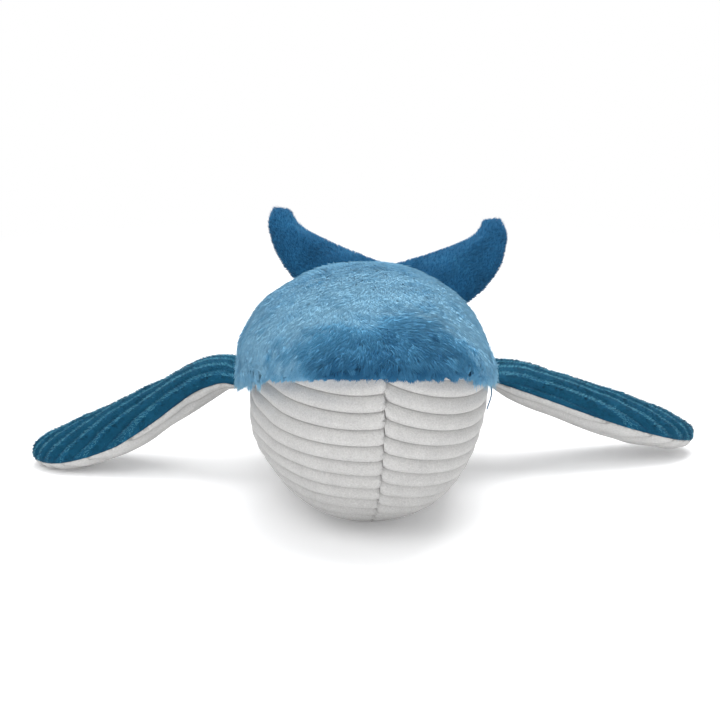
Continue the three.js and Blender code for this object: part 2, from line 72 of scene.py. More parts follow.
def follow(place, places, values):
    # cubic pieces through the stations, with a slope at each that weighs both neighbours
    places, values = np.array(places, float), np.array(values, float)
    place = np.clip(np.asarray(place, float), places[0], places[-1])
    slope = np.gradient(values, places)
    k = np.clip(np.searchsorted(places, place, side="right") - 1, 0, len(places) - 2)
    step = places[k + 1] - places[k]
    t = (place - places[k]) / step
    rise = values[k] + (values[k + 1] - values[k]) * t * t * (3 - 2 * t)
    return rise + step * t * (1 - t) * (slope[k] * (1 - t) - slope[k + 1] * t)


def ripples(points, size, seed, waves=8):
    # a smooth random field: the sum of sine waves about size mm long, running in random ways
    dice = np.random.default_rng(seed)
    ways = unit(dice.normal(size=(waves, 3))) * 2 * np.pi
    ways = ways / (size * dice.uniform(0.7, 1.5, (waves, 1)))
    starts = dice.uniform(0, 2 * np.pi, waves)
    return np.sin(points @ ways.T + starts).sum(-1) / np.sqrt(waves)


def turned(v, axis, angle):
    # v turned about axis by angle: its part across the axis swings, its part along stays
    c, s = np.cos(angle)[..., None], np.sin(angle)[..., None]
    return v * c + np.cross(axis, v) * s + axis * (v * axis).sum(-1, keepdims=True) * (1 - c)


def quads(a, b, c, d):
    # two triangles for each set of four corners
    halves = (np.stack([a, b, c], -1), np.stack([a, c, d], -1))
    return np.concatenate([half.reshape(-1, 3) for half in halves])


def gridTriangles(rows, columns, start=0, flip=False):
    # two triangles for each cell of a grid of points numbered row by row
    i = np.arange(rows - 1)[:, None] * columns + np.arange(columns - 1) + start
    t = quads(i, i + columns, i + columns + 1, i + 1)
    return t[:, ::-1] if flip else t


def addObject(name, data):
    thing = bpy.data.objects.new(name, data)
    scene.collection.objects.link(thing)
    return thing


def makeMesh(name, points, triangles, values=None, uv=None, weld=True):
    # turns points and triangles into a mesh piece in metres; values become point attributes, with
    # 0 for the points past their end
    mesh = bpy.data.meshes.new(name)
    mesh.vertices.add(len(points))
    metres = (points + originShift) / 1000
    mesh.vertices.foreach_set("co", metres.astype(np.float32).ravel())
    mesh.loops.add(triangles.size)
    mesh.loops.foreach_set("vertex_index", triangles.astype(np.int32).ravel())
    mesh.polygons.add(len(triangles))
    mesh.polygons.foreach_set("loop_start", np.arange(len(triangles), dtype=np.int32) * 3)
    mesh.update(calc_edges=True)
    for key, value in (values or {}).items():
        every = np.zeros(len(points), np.float32)
        every[:value.size] = value.ravel()
        mesh.attributes.new(key, "FLOAT", "POINT").data.foreach_set("value", every)
    if uv is not None:
        layer = mesh.uv_layers.new(name="OFBake")
        layer.data.foreach_set("uv", uv[triangles.ravel()].astype(np.float32).ravel())
    if weld:
        cage = bmesh.new()
        cage.from_mesh(mesh)
        bmesh.ops.remove_doubles(cage, verts=cage.verts, dist=2e-6)
        bmesh.ops.recalc_face_normals(cage, faces=cage.faces)
        cage.to_mesh(mesh)
        cage.free()
    mesh.polygons.foreach_set("use_smooth", np.full(len(mesh.polygons), True))
    return addObject(name, mesh)


def closedPatch(name, rows, spine, values=None):
    # a grid of points closed by flat strips from its two side edges to a line behind it
    n, m = rows.shape[:2]
    left, back = np.arange(n) * m, np.arange(n) + n * m
    parts = [gridTriangles(n, m)]
    for edge, way in ((left, 1), (left + m - 1, -1)):
        parts.append(quads(edge[:-1], edge[1:], back[1:], back[:-1])[:, ::way])
    for row, way in ((0, 1), (n - 1, -1)):
        edge = np.arange(m) + row * m
        fan = np.stack([np.full(m - 1, back[row]), edge[:-1], edge[1:]], -1)
        parts.append(fan[:, ::way])
    points = np.concatenate([rows.reshape(-1, 3), spine])
    return makeMesh(name, points, np.concatenate(parts), values)


# The camera stands in front of the nose and a little above it, as in the photograph.
camera = {"azimuth": -3.5, "elevation": 15, "distance": 1.4, "target": (-0.0035, -0.0018, 0.069),
          "lens": 97.22}


def placeCamera():
    a, e = np.radians(camera["azimuth"]), np.radians(camera["elevation"])
    back = Vector((np.sin(a) * np.cos(e), -np.cos(a) * np.cos(e), np.sin(e)))
    data = bpy.data.cameras.new("camera")
    data.lens, data.sensor_width = camera["lens"], 36
    data.clip_start, data.clip_end = 0.05, 50
    holder = addObject("camera", data)
    holder.location = Vector(camera["target"]) + back * camera["distance"]
    holder.rotation_euler = (-back).to_track_quat("-Z", "Y").to_euler()
    scene.camera = holder


placeCamera()

# The body's form, shared by the fur and the belly. The four pairs of lists give places along it
# and shares there. Side -1 is the left half and side 1 the right.
body = {
    "length": 395, "halfWidth": 82, "widestBack": 145, "noseRoundness": 2.6, "seamGap": 0.06,
    "mouthHeight": 118, "backHeight": 161, "keelHeight": 38, "furPile": 3.8, "restCut": 0.5,
    "sideCurve": 38, "sideCurveStart": 100,
    "slant": (4.5, -2.6), "slantTurn": 0.6, "slantRun": 0.21,
    "width": ([0, 0.24, 0.46, 0.68, 0.86, 1], [1, 0.93, 0.74, 0.5, 0.36, 0.3]),
    "mouth": ([0, 0.15, 0.3, 0.42, 0.58, 0.76, 0.89, 1],
              [1, 0.87, 0.76, 0.67, 0.57, 0.51, 0.5, 0.525]),
    "back": ([0, 0.33, 0.48, 0.65, 0.8, 0.91, 1], [1, 1, 0.93, 0.78, 0.62, 0.55, 0.54]),
    "keel": ([0, 0.24, 0.45, 0.56, 0.68, 0.8, 0.91, 1], [0, 0, 0, 0.03, 0.21, 0.51, 0.81, 1]),
    "mouthSwell": {-1: 0, 1: -3.2}, "swellStart": 90,
    "upper": {"frontDepth": 130, "roundness": 0.95, "swell": {-1: 3.6, 1: -3.4}, "reach": 0.25},
    "lower": {"frontDepth": 95, "roundness": 0.85, "swell": {-1: 0, 1: -3.2}, "reach": 0.35},
    "runPower": 1.9, "endDepth": 5, "endRows": 8, "spineStart": 3,
}


def mouthAt(y):
    # the height of the mouth seam
    return body["mouthHeight"] * follow(y / body["length"], *body["mouth"])


def topAt(y):
    # the height of the middle line on top, less the pile that stands on it
    return body["backHeight"] * follow(y / body["length"], *body["back"]) - body["furPile"]


def asideAt(y):
    # the middle plane curves to one side, as a parabola
    start = body["sideCurveStart"]
    return body["sideCurve"] * (np.maximum(y - start, 0) / (body["length"] - start)) ** 2


def widthShareAt(y, front):
    # a superellipse ahead of the widest place, stations behind it
    widest, power = body["widestBack"], body["noseRoundness"]
    behind = follow((y - widest) / (body["length"] - widest), *body["width"])
    ahead = np.clip((widest - y) / (widest - front), 0, 1)
    return np.where(y >= widest, behind, (1 - ahead ** power) ** (1 / power))


def slantAt(upper, run, turn):
    # the middle seams of the head slant a little, from the mouth down to the chin
    mouth, chin = body["slant"]
    slant = mix(mouth, 0, fade(turn / body["slantTurn"])) if upper else mix(mouth, chin, turn)
    return slant * (1 - fade(run / body["slantRun"]))


def bodyPoints(side, upper, run, turn):
    # one quarter of the body: run goes from the nose seam to the tail end, turn from the mouth
    # seam to the middle line, and each section is a superellipse; run past 1 rounds off the end
    kind = body["upper" if upper else "lower"]
    run, turn = np.broadcast_arrays(np.asarray(run, float), np.asarray(turn, float))
    angle = turn * quarterTurn
    front = kind["frontDepth"] * (1 - np.cos(angle))
    y = mix(front, body["length"], np.minimum(run, 1))
    out = np.where(turn < 1, np.abs(np.cos(angle)) ** kind["roundness"], 0)
    over = np.sin(angle) ** kind["roundness"]
    keel = body["keelHeight"] * follow(y / body["length"], *body["keel"]) - body["restCut"]
    swell = mix(body["mouthSwell"][side], kind["swell"][side], fade(turn / kind["reach"]))
    swell = swell * fade(y / body["swellStart"])
    x = (body["halfWidth"] + swell) * widthShareAt(y, front) * out
    rise = ((topAt(y) if upper else keel) - mouthAt(y)) * over
    past = np.clip(run - 1, 0, 1) * quarterTurn
    x, rise, y = x * np.cos(past), rise * np.cos(past), y + body["endDepth"] * np.sin(past)
    gap = body["seamGap"] / 2
    z = mouthAt(y) + (gap if upper else -gap) + rise
    return np.stack([side * (x + gap) + asideAt(y) + slantAt(upper, run, turn), y, z], -1)


def bodyWays(side, upper, run, turn):
    # unit ways over the surface: towards the tail, towards the mouth seam, and straight out
    small = 2e-3

    def between(runA, turnA, runB, turnB):
        return unit(bodyPoints(side, upper, runA, turnA) - bodyPoints(side, upper, runB, turnB))
    tail = between(run + small, turn, np.maximum(run - small, 0), turn)
    down = between(run, np.maximum(turn - small, 0), run, np.minimum(turn + small, 1))
    out = unit(np.cross(tail, down))
    return tail, down, out * (-side if upper else side)


def bodyRuns(rows):
    # rows packed closer at the nose, then those that round off the tail's end
    whole = np.linspace(0, 1, rows) ** body["runPower"]
    return np.concatenate([whole, 1 + np.linspace(0, 1, body["endRows"] + 1)[1:]])


def bodySpine(side, upper, runs):
    # the line inside the body where a quarter's two flat sides meet
    past = np.clip(runs - 1, 0, 1) * quarterTurn
    y = mix(body["spineStart"], body["length"], np.minimum(runs, 1))
    y = y + body["endDepth"] * np.sin(past)
    gap = body["seamGap"] / 2
    return np.stack([side * gap + asideAt(y), y, mouthAt(y) + (gap if upper else -gap)], -1)


# The skin that the fur grows on, a little lumpy from the filling
backing = {"rows": 110, "columns": 44, "lumpHeight": 0.9, "lumpSize": 62, "edges": (0.15, 0.1)}


def makeBacking(side, word):
    # the body's upper quarter, moved straight out by a smooth random field that ends at its edges
    runs, turns = bodyRuns(backing["rows"]), np.linspace(0, 1, backing["columns"])
    points = bodyPoints(side, True, runs[:, None], turns[None, :])
    out = bodyWays(side, True, runs[:, None], turns[None, :])[2]
    low, high = backing["edges"]
    inner = fade(turns / low) * fade((1 - turns) / high)
    lumps = backing["lumpHeight"] * ripples(points, backing["lumpSize"], 3) * inner
    piece = closedPatch(f"back_skin_{word}", points + out * lumps[..., None],
                        bodySpine(side, True, runs))
    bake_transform(piece)
    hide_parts(f"back_fur_{word}", f"tail_fur_{word}")
    return piece


# Strands of pile: how deep the root sits in mm, where bend and tip are as shares of the length,
# and how much the tone varies from tuft to tuft and from strand to strand
strand = {"sunk": 0.8, "bendAlong": 0.42, "bendUp": 0.68, "tipUp": 0.95, "bendPull": 0.45,
          "bendWidth": 0.82, "tuftBlur": 0.16, "tuftTone": 0.09, "ownTone": 0.04}


def spikes(name, roots, lay, out, length, width, stand, tuft, gather, lean, dice, tones, bent=True):
    # each spike starts as a triangle at its root and ends in a point, and a bent one also narrows
    # at a bend half way; the tips of a tuft draw together towards the middle of its roots
    n = len(roots)
    blur = dice.normal(0, tuft * strand["tuftBlur"], (n, 3))
    cell = np.floor((roots + blur) / tuft).astype(np.int64)
    key = cell[:, 0] * 73856093 ^ cell[:, 1] * 19349663 ^ cell[:, 2] * 83492791
    _, group, count = np.unique(key, return_inverse=True, return_counts=True)
    centre = np.stack([np.bincount(group, roots[:, k]) / count for k in range(3)], -1)
    tuftTone = dice.normal(0, 1, len(count))[group]
    tuftLean = dice.normal(0, 1, len(count))[group]
    lay = turned(lay, out, tuftLean * lean)
    length, stand = length[:, None], stand[:, None]
    pull = (centre[group] - roots) * np.broadcast_to(gather, n)[:, None]
    lie = np.sqrt(np.maximum(1 - stand ** 2, 0))
    foot = roots - out * strand["sunk"]
    bend = out * stand * strand["bendUp"] + lay * lie * strand["bendAlong"]
    bend = roots + length * bend + pull * strand["bendPull"]
    tip = roots + length * (out * stand * strand["tipUp"] + lay * lie) + pull
    aside = unit(np.cross(lay, out))
    deep = unit(np.cross(aside, tip - foot))
    rings = []
    for middle, share in ((foot, 1.0), (bend, strand["bendWidth"]))[:2 if bent else 1]:
        for k in range(3):
            angle = k * 2 * np.pi / 3 + 0.5
            spoke = aside * np.cos(angle) + deep * np.sin(angle)
            rings.append(middle + spoke * width[:, None] * share)
    points = np.stack(rings + [tip], 1).reshape(-1, 3)
    template, size = [(0, 2, 1)], len(rings) + 1
    for k in range(3):
        j = (k + 1) % 3
        bentSide = [(k, j, 3 + j), (k, 3 + j, 3 + k), (3 + k, 3 + j, 6)]
        template += bentSide if bent else [(k, j, 3)]
    triangles = (np.array(template)[None] + np.arange(n)[:, None, None] * size).reshape(-1, 3)
    tone = 0.5 + tones + tuftTone * strand["tuftTone"] + dice.normal(0, strand["ownTone"], n)
    tone = np.clip(tone, 0.01, 0.99)
    height = np.array([0.02] * 3 + [0.55] * 3 + [0.98] if bent else [0.1] * 3 + [0.98])
    uv = np.stack([np.repeat(tone, size), np.tile(height, n)], -1)
    return makeMesh(name, points, triangles, uv=uv, weld=False)


def cellEdges(points):
    # the two edges of each cell of a grid of points, and its area
    a, b = points[1:, :-1] - points[:-1, :-1], points[:-1, 1:] - points[:-1, :-1]
    return a, b, np.linalg.norm(np.cross(a, b), axis=-1)


def pickCells(area, amount, dice):
    # random cells of a grid, each as likely as its area says
    total = np.cumsum(area.ravel())
    cell = np.searchsorted(total, dice.uniform(0, total[-1], amount))
    return np.unravel_index(np.minimum(cell, area.size - 1), area.shape)


def scatter(points, out, amount, dice):
    # random places on a grid of points: their cells, their shares of them, and ways straight out
    a, b, area = cellEdges(points)
    i, j = pickCells(area, amount, dice)
    s, t = dice.uniform(0, 1, (2, amount, 1))
    roots = points[i, j] + a[i, j] * s + b[i, j] * t
    normal = unit(np.cross(a[i, j], b[i, j]))
    normal = normal * np.sign((normal * out[i, j]).sum(-1, keepdims=True))
    return i, j, s[:, 0], t[:, 0], roots, normal


# Fur: bent spikes that lie forwards and down from the middle seam and gather into tufts. The
# fringe hangs over the mouth seam, and a patch on the forehead is brushed up.
fur = {
    "length": 9.5, "spread": 0.22, "width": 0.35, "widthSpread": (0.75, 1.3), "stand": 0.27,
    "standWave": 0.05, "standSpread": 0.04, "standRange": (0.12, 0.8), "lean": 0.16, "tuft": 5.2,
    "gather": 0.18, "lay": (0.5, -1.0, -0.75), "swirl": 0.28, "fineSwirl": 0.16, "ownSwirl": 0.1,
    "seamSwirl": 0.4, "seamWidth": 2, "seamFade": 5,
    "broader": 1.25,
    "fringe": {"length": 12.5, "stand": 0.5, "lean": 0.45, "gather": 0.7,
               "depth": 24, "end": 190, "endFade": 60},
    "hang": {-1: 0.4, 1: 1.8}, "leastHang": 0.3, "hangWave": 0.35, "hangSpread": (0.5, 1.4),
    "cheekHang": {-1: 10, 1: 0}, "cheekBack": 125, "cheekLength": 42,
    "patch": (17, 36, 149), "patchSize": 20, "patchTurn": 1.3, "patchStand": 0.05,
    "grid": (300, 90), "seamColumns": 4, "seamShare": 1.8, "lastRun": 1.9,
    "zones": [0, 62, 125, 215, 402], "strands": [19500, 18500, 15500, 11000],
}

# Shades of the fur: from -0.5, the darkest, to 0.5, the lightest; the brow, back, flanks, sides,
# brushed patch and dashes get painted light and shade, and the waves are random tone
furTone = {"browShade": -0.35, "back": 0.5, "browDepth": 50, "flank": 0.75, "flankFrom": 34,
           "sides": {-1: -0.06, 1: 0.14}, "sidesFrom": 35, "patch": 0.3, "wave": 0.08,
           "fineWave": 0.06, "partingShade": 0.3, "dashFrom": 1.2}


def furRoots(side, low, high, amount, dice):
    # random places on the back between low and high, with more of them along the mouth seam
    rows, columns = fur["grid"]
    runs = np.linspace(0, 1, rows) ** body["runPower"]
    runs = np.concatenate([runs, np.linspace(1, fur["lastRun"], 12)[1:]])
    turns = np.linspace(0, 1, columns)
    points = bodyPoints(side, True, runs[:, None], turns[None, :])
    y = points[:-1, :-1, 1]
    area = np.where((y >= low) & (y < high), cellEdges(points)[2], 0)
    area[:, :fur["seamColumns"]] *= fur["seamShare"]
    i, j = pickCells(area, amount, dice)
    run = mix(runs[i], runs[i + 1], dice.uniform(0, 1, amount))
    turn = mix(turns[j], turns[j + 1], dice.uniform(0, 1, amount))
    return run, turn


def furTones(side, roots, apart, brushed, fringe):
    # painted light on the back, the flanks and the right side, and painted shade low on the
    # forehead, on the left side, where it is brushed up and in dashes along the partings
    x, y = roots[:, 0], roots[:, 1]
    # painted light: lighter on the back and flanks; painted shade: darker low on the forehead, on
    # the left side and where the pile is brushed up
    flank = furTone["flank"] * fade((np.abs(x - 8) - furTone["flankFrom"]) / 30)
    lit = np.maximum(fade((y - 6) / furTone["browDepth"]), flank)
    sides = furTone["sides"][side] * fade((apart - furTone["sidesFrom"]) / 30)
    tones = mix(furTone["browShade"], furTone["back"], lit) + sides - furTone["patch"] * brushed
    tones = tones + furTone["wave"] * ripples(roots, 34, 14)
    tones = tones + furTone["fineWave"] * ripples(roots, 11, 15)
    # painted shade in dashes along the partings of the fur, left out of the fringe
    partingShade = np.maximum(ripples(roots * (1, 0.5, 0.6), 9, 16) - furTone["dashFrom"], 0)
    return tones - furTone["partingShade"] * partingShade * (1 - fringe)


def makeFur(side, word):
    # zone by zone towards the tail: the roots, then how each hair lies, stands and ends
    edge = fur["fringe"]
    pieces = []
    for zone, amount in enumerate(fur["strands"]):
        dice = np.random.default_rng(20 + zone * 2 + (side > 0))
        low, high = fur["zones"][zone:zone + 2]
        run, turn = furRoots(side, low, high, amount, dice)
        roots = bodyPoints(side, True, run, turn)
        _, down, out = bodyWays(side, True, run, turn)
        # the pile lies in one world direction, bent into the surface and swirled a little
        x, y = roots[:, 0], roots[:, 1]
        apart = np.abs(x - asideAt(y) - slantAt(True, run, turn))
        lay = np.tile(fur["lay"], (amount, 1))
        lay[:, 0] *= fade(apart / 30) * side
        lay = unit(lay - out * (lay * out).sum(-1, keepdims=True))
        atSeam = 1 - fade((apart - fur["seamWidth"]) / fur["seamFade"])
        swirl = fur["swirl"] * ripples(roots, 58, 11) + fur["fineSwirl"] * ripples(roots, 19, 12)
        swirl = swirl + dice.normal(0, fur["seamSwirl"], amount) * atSeam
        brushed = np.exp(-(((roots - fur["patch"]) / fur["patchSize"]) ** 2).sum(-1))
        swirl = swirl + fur["patchTurn"] * brushed + dice.normal(0, fur["ownSwirl"], amount)
        lay = turned(lay, out, swirl)
        aboveSeam = np.linalg.norm(roots - bodyPoints(side, True, run, turn * 0), axis=-1)
        fringe = (1 - fade(aboveSeam / edge["depth"])) * fade((edge["end"] - y) / edge["endFade"])
        stand = mix(fur["stand"], edge["stand"], fringe) + fur["standWave"] * ripples(roots, 26, 13)
        stand = stand + dice.normal(0, fur["standSpread"], amount) + fur["patchStand"] * brushed
        stand = np.clip(stand * mix(0.6, 1, fade(aboveSeam / 5)), *fur["standRange"])
        length = mix(fur["length"], edge["length"], fringe)
        length = length * (1 + fur["spread"] * dice.normal(0, 0.6, amount))
        # no hair hangs far below the mouth seam, except at the cheek
        cheek = np.exp(-((y - fur["cheekBack"]) / fur["cheekLength"]) ** 2) * fur["cheekHang"][side]
        hang = fur["hang"][side] * (1 + fur["hangWave"] * ripples(roots, 9, 17))
        hang = hang * dice.uniform(*fur["hangSpread"], amount) + cheek
        drop = np.maximum((lay * down).sum(-1), 0.25) * np.sqrt(1 - stand ** 2)
        length = np.minimum(length, (aboveSeam + np.maximum(hang, fur["leastHang"])) / drop)
        length, stand = partFurAtEyes(side, roots, length, stand)
        width = fur["width"] * dice.uniform(*fur["widthSpread"], amount)
        width = width * mix(fur["broader"], 1, fringe)  # hairs of the fringe are finer
        gather = mix(fur["gather"], edge["gather"], fringe) * (1 - atSeam)
        piece = spikes(f"fur_{word}_{zone + 1}", roots, lay, out, length, width, stand,
                       fur["tuft"], gather, mix(fur["lean"], edge["lean"], fringe), dice,
                       furTones(side, roots, apart, brushed, fringe))
        if low < fur["zones"][-2]:
            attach(piece, "torso")
        else:
            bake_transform(piece)
        pieces.append(piece)
    return pieces


# A loose end of sewing thread hangs from the right-hand corner of the mouth.
thread = {"from": (73.4, 58, 99.5), "length": 19, "radius": 0.42, "sway": 1.6, "waves": 4.2,
          "rings": 16, "sides": 5}


def makeThread():
    # a thin tube along a line that falls straight down and sways a little
    t = np.linspace(0, 1, thread["rings"])
    centre = np.stack([thread["sway"] * np.sin(t * thread["waves"]), -1.2 - 1.5 * t,
                       -thread["length"] * t], -1)
    centre = np.array(thread["from"]) + centre
    angle = np.linspace(0, 2 * np.pi, thread["sides"] + 1)
    ring = np.stack([np.cos(angle), np.sin(angle), 0 * angle], -1) * thread["radius"]
    width = np.where((t > 0) & (t < 1), 1, 0.01)[:, None, None]
    points = (centre[:, None] + ring[None] * width).reshape(-1, 3)
    piece = makeMesh("loose_thread", points, gridTriangles(len(t), len(angle)))
    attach(piece, "torso")
    return piece


# Eyes: a domed black button sunk a little into the fur on each side
eye = {"radius": 5.5, "dome": 3.6, "rimShare": 0.35, "domePower": 0.92, "post": 1.8,
       "postDepth": 9, "standOff": 0.3, "back": 166, "aboveMouth": 17, "rings": 14, "sides": 48,
       "clear": 8.5}


def eyeSeat(side):
    # the place on the flank that lies so far back and so far above the mouth seam
    y = eye["back"]
    share = eye["aboveMouth"] / (topAt(y) - mouthAt(y))
    turn = np.arcsin(share ** (1 / body["upper"]["roundness"])) / quarterTurn
    front = body["upper"]["frontDepth"] * (1 - np.cos(turn * quarterTurn))
    run = (y - front) / (body["length"] - front)
    return bodyPoints(side, True, run, turn), bodyWays(side, True, run, turn)


def partFurAtEyes(side, roots, length, stand):
    # shorter hairs that lie flatter, close to the button
    far = np.linalg.norm(roots - eyeSeat(side)[0], axis=-1)
    near = 1 - fade((far - eye["radius"] * 0.7) / eye["clear"])
    return length * mix(1, 0.3, near), np.clip(stand * mix(1, 0.6, near), 0.1, 0.9)


def makeEye(side, word):
    # a profile turned round the way out: a short post, a flat back, a rolled rim and a dome
    centre, (tail, down, out) = eyeSeat(side)
    rim, post, off = eye["dome"] * eye["rimShare"], eye["post"], eye["standOff"]
    rolled = np.linspace(-quarterTurn, quarterTurn, eye["rings"])[:eye["rings"] // 2]
    domed = np.linspace(0, quarterTurn, eye["rings"])
    r = np.concatenate([[0, post, post], eye["radius"] - rim + rim * np.cos(rolled),
                        eye["radius"] * np.cos(domed) ** eye["domePower"]])
    h = np.concatenate([[-eye["postDepth"], -eye["postDepth"], off],
                        off + rim + rim * np.sin(rolled), off + rim + eye["dome"] * np.sin(domed)])
    a = np.linspace(0, 2 * np.pi, eye["sides"] + 1)
    ring = tail * np.cos(a)[:, None] + down * np.sin(a)[:, None]
    points = centre + ring[None] * r[:, None, None] + out * h[:, None, None]
    piece = makeMesh(f"eye_button_{word}", points.reshape(-1, 3), gridTriangles(len(r), len(a)))
    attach(piece, "torso")
    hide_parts(f"eye_{word}")
    return piece


# Ribbed cord: the points follow the ribs, so each groove is a clean line.
cord = {
    "pitch": 11, "depth": 2.9, "sag": 1.2, "finDepth": 2.8,
    "phases": [0, 0.035, 0.08, 0.15, 0.25, 0.4, 0.55, 0.7, 0.82, 0.9, 0.955],
}


def ribLines(first, last):
    # distances across the ribs, packed closer at the grooves
    ribs = np.arange(np.floor(first), np.ceil(last) + 1)
    return (ribs[:, None] + np.array(cord["phases"])[None]).ravel()


def crestOf(phase, power):
    # 1 along the top of a rib and 0 in its groove; power 1 is a roof, and more is broader on top
    share = phase - np.floor(phase)
    return 1 - np.abs(2 * share - 1) ** power


belly = {
    "rows": 230, "samples": 240, "level": 1.2, "crowd": 0.06, "lean": 1.25, "crestPower": 2.6,
    "fadeHeight": 16, "tailFade": 0.3, "mouthPinch": 3.5, "mouthDepth": 0.45, "stemPinch": 1.0,
    "stemDepth": 0.02, "stemLength": 120, "wave": 0.55, "waveSize": 46,
    "tuckReach": 42, "tuckAside": 60, "tuckEnd": 200, "floor": 0.05,
    "left": {"first": 1.34, "slope": -0.05, "swag": 5.8, "swagReach": 18, "tuck": 4.6},
    "right": {"first": 0.95, "slope": 0.17, "swag": 7.7, "swagReach": 22, "tuck": -0.8},
}


def makeBelly(side, word):
    # the ribs run nearly level back from the nose seam, so the mouth seam and keel cut them off
    kind = belly[word]
    runs = bodyRuns(belly["rows"])
    fine = np.linspace(0, 1, belly["samples"])
    shape = bodyPoints(side, False, np.minimum(runs, 1)[:, None], fine[None, :])
    steps = np.linalg.norm(np.diff(shape, axis=1), axis=-1)
    girth = np.concatenate([np.zeros((len(runs), 1)), np.cumsum(steps, axis=1)], axis=1)
    y = np.minimum(runs, 1) * body["length"]
    out = body["halfWidth"] * widthShareAt(y, 0)
    # they swing up a little where the two panels meet at the stem, and crowd together there
    near = np.exp(-out / kind["swagReach"])
    rise = (body["mouthHeight"] - mouthAt(y)) * belly["level"]
    rise = rise - out * kind["slope"] + kind["swag"] * near
    spacing = (1 - belly["crowd"] * near)[:, None]
    lines = ribLines(-2 - kind["first"], (girth[:, -1] + rise).max() / cord["pitch"])
    distance = (lines + kind["first"] - 1)[None, :] * cord["pitch"]
    distance = (distance - rise[:, None]) / spacing
    turn = np.stack([np.interp(d, g, fine) for d, g in zip(distance, girth)])
    points = bodyPoints(side, False, runs[:, None], turn)
    _, down, away = bodyWays(side, False, runs[:, None], turn)
    share = (lines - np.floor(lines)) ** belly["lean"]
    crest = crestOf(share, belly["crestPower"])[None, :] * np.ones_like(turn)
    fromMouth = np.maximum(distance, 0)
    atMouth = fade(fromMouth / belly["mouthPinch"])
    # painted shade: the rib attribute darkens the grooves, and is halved at the mouth seam for a
    # painted shadow under the fringe
    ribShading = crestOf(share, 1)[None, :] * mix(0.5, 1, atMouth)
    slant = slantAt(False, runs[:, None], turn)
    fromStem = np.abs(points[..., 0] - asideAt(points[..., 1]) - slant)
    ahead = points[..., 1] < belly["stemLength"]
    pinch = atMouth * np.where(ahead, fade(fromStem / belly["stemPinch"]), 1)
    low = fade(points[..., 2] / belly["fadeHeight"])
    end = fade((1.02 - runs) / belly["tailFade"])[:, None]
    depth = cord["depth"] * low * end * mix(belly["mouthDepth"], 1, atMouth)
    lift = -depth * (1 - crest) - belly["stemDepth"] * (1 - pinch)
    tucked = (1 - fade(fromMouth / belly["tuckReach"])) * fade(fromStem / belly["tuckAside"])
    tucked = tucked * fade((belly["tuckEnd"] - points[..., 1]) / 60)
    wave = belly["wave"] * ripples(points, belly["waveSize"], 31) * pinch * low
    lift = lift + wave - kind["tuck"] * tucked
    slump = -down * (cord["sag"] * crest * pinch * low * end)[..., None]
    points = points + away * lift[..., None] + slump * np.where(turn < 1, 1, 0)[..., None]
    points[..., 2] = np.maximum(points[..., 2], belly["floor"])
    # each panel stays on its own side of the stem
    gap = body["seamGap"] / 2
    middle = asideAt(points[..., 1]) + slant
    inside = side * (points[..., 0] - middle) < gap
    points[..., 0] = np.where(inside, side * gap + middle, points[..., 0])
    spine = bodySpine(side, False, runs)
    piece = closedPatch(f"belly_cord_{word}", points, spine, {"ribShading": ribShading})
    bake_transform(piece)
    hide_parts(f"belly_ribbed_{word}", f"tail_belly_{word}")
    return piece


# Pillows: two cloths sewn round their edge and blown up by a cloth simulation
pillow = {"pressure": 16.0, "frames": 20, "cap": 7.0, "quality": 6, "mass": 0.12, "stretch": 12,
          "shear": 5, "bend": 0.3}


def joinGrids(top, closed):
    # numbers the points of two grids that share their long edges, their one-point last row and,
    # if closed, their first row
    n, m = top.shape[:2]
    upper = np.arange(n * m).reshape(n, m)
    lower = upper + n * m
    lower[:, 0], lower[:, -1] = upper[:, 0], upper[:, -1]
    upper[-1, :], lower[-1, :] = upper[-1, 0], upper[-1, 0]
    if closed:
        lower[0] = upper[0]
    return upper, lower


def bagCells(upper, lower, closed):
    # the triangles of both cloths and of the open end, without those that have shrunk to a line
    cells = []
    for k, way in ((upper, 1), (lower, -1)):
        cells.append(quads(k[:-1, :-1], k[1:, :-1], k[1:, 1:], k[:-1, 1:])[:, ::way])
    if not closed:
        cells.append(quads(upper[0, :-1], upper[0, 1:], lower[0, 1:], lower[0, :-1]))
    a, b, c = np.concatenate(cells).T
    return np.stack([a, b, c], -1)[(a != b) & (b != c) & (a != c)]


def runCloth(bag):
    # lets the bag's cloth swell for some frames, and reads where its points are then, in mm
    cloth = bag.modifiers.new("cloth", "CLOTH")
    settings = cloth.settings
    settings.quality, settings.mass = pillow["quality"], pillow["mass"]
    settings.tension_stiffness = settings.compression_stiffness = pillow["stretch"]
    settings.shear_stiffness, settings.bending_stiffness = pillow["shear"], pillow["bend"]
    settings.use_pressure = True
    settings.uniform_pressure_force = pillow["pressure"]
    settings.effector_weights.gravity = 0
    settings.vertex_group_mass = "held"
    cloth.point_cache.frame_end = pillow["frames"]
    for number in range(1, pillow["frames"] + 1):
        scene.frame_set(number)
    shown = bag.evaluated_get(bpy.context.evaluated_depsgraph_get())
    blown = np.empty(len(bag.data.vertices) * 3, np.float32)
    shown.data.vertices.foreach_get("co", blown)
    bpy.data.objects.remove(bag)
    scene.frame_set(1)
    return blown.reshape(-1, 3).astype(float) * 1000 - originShift


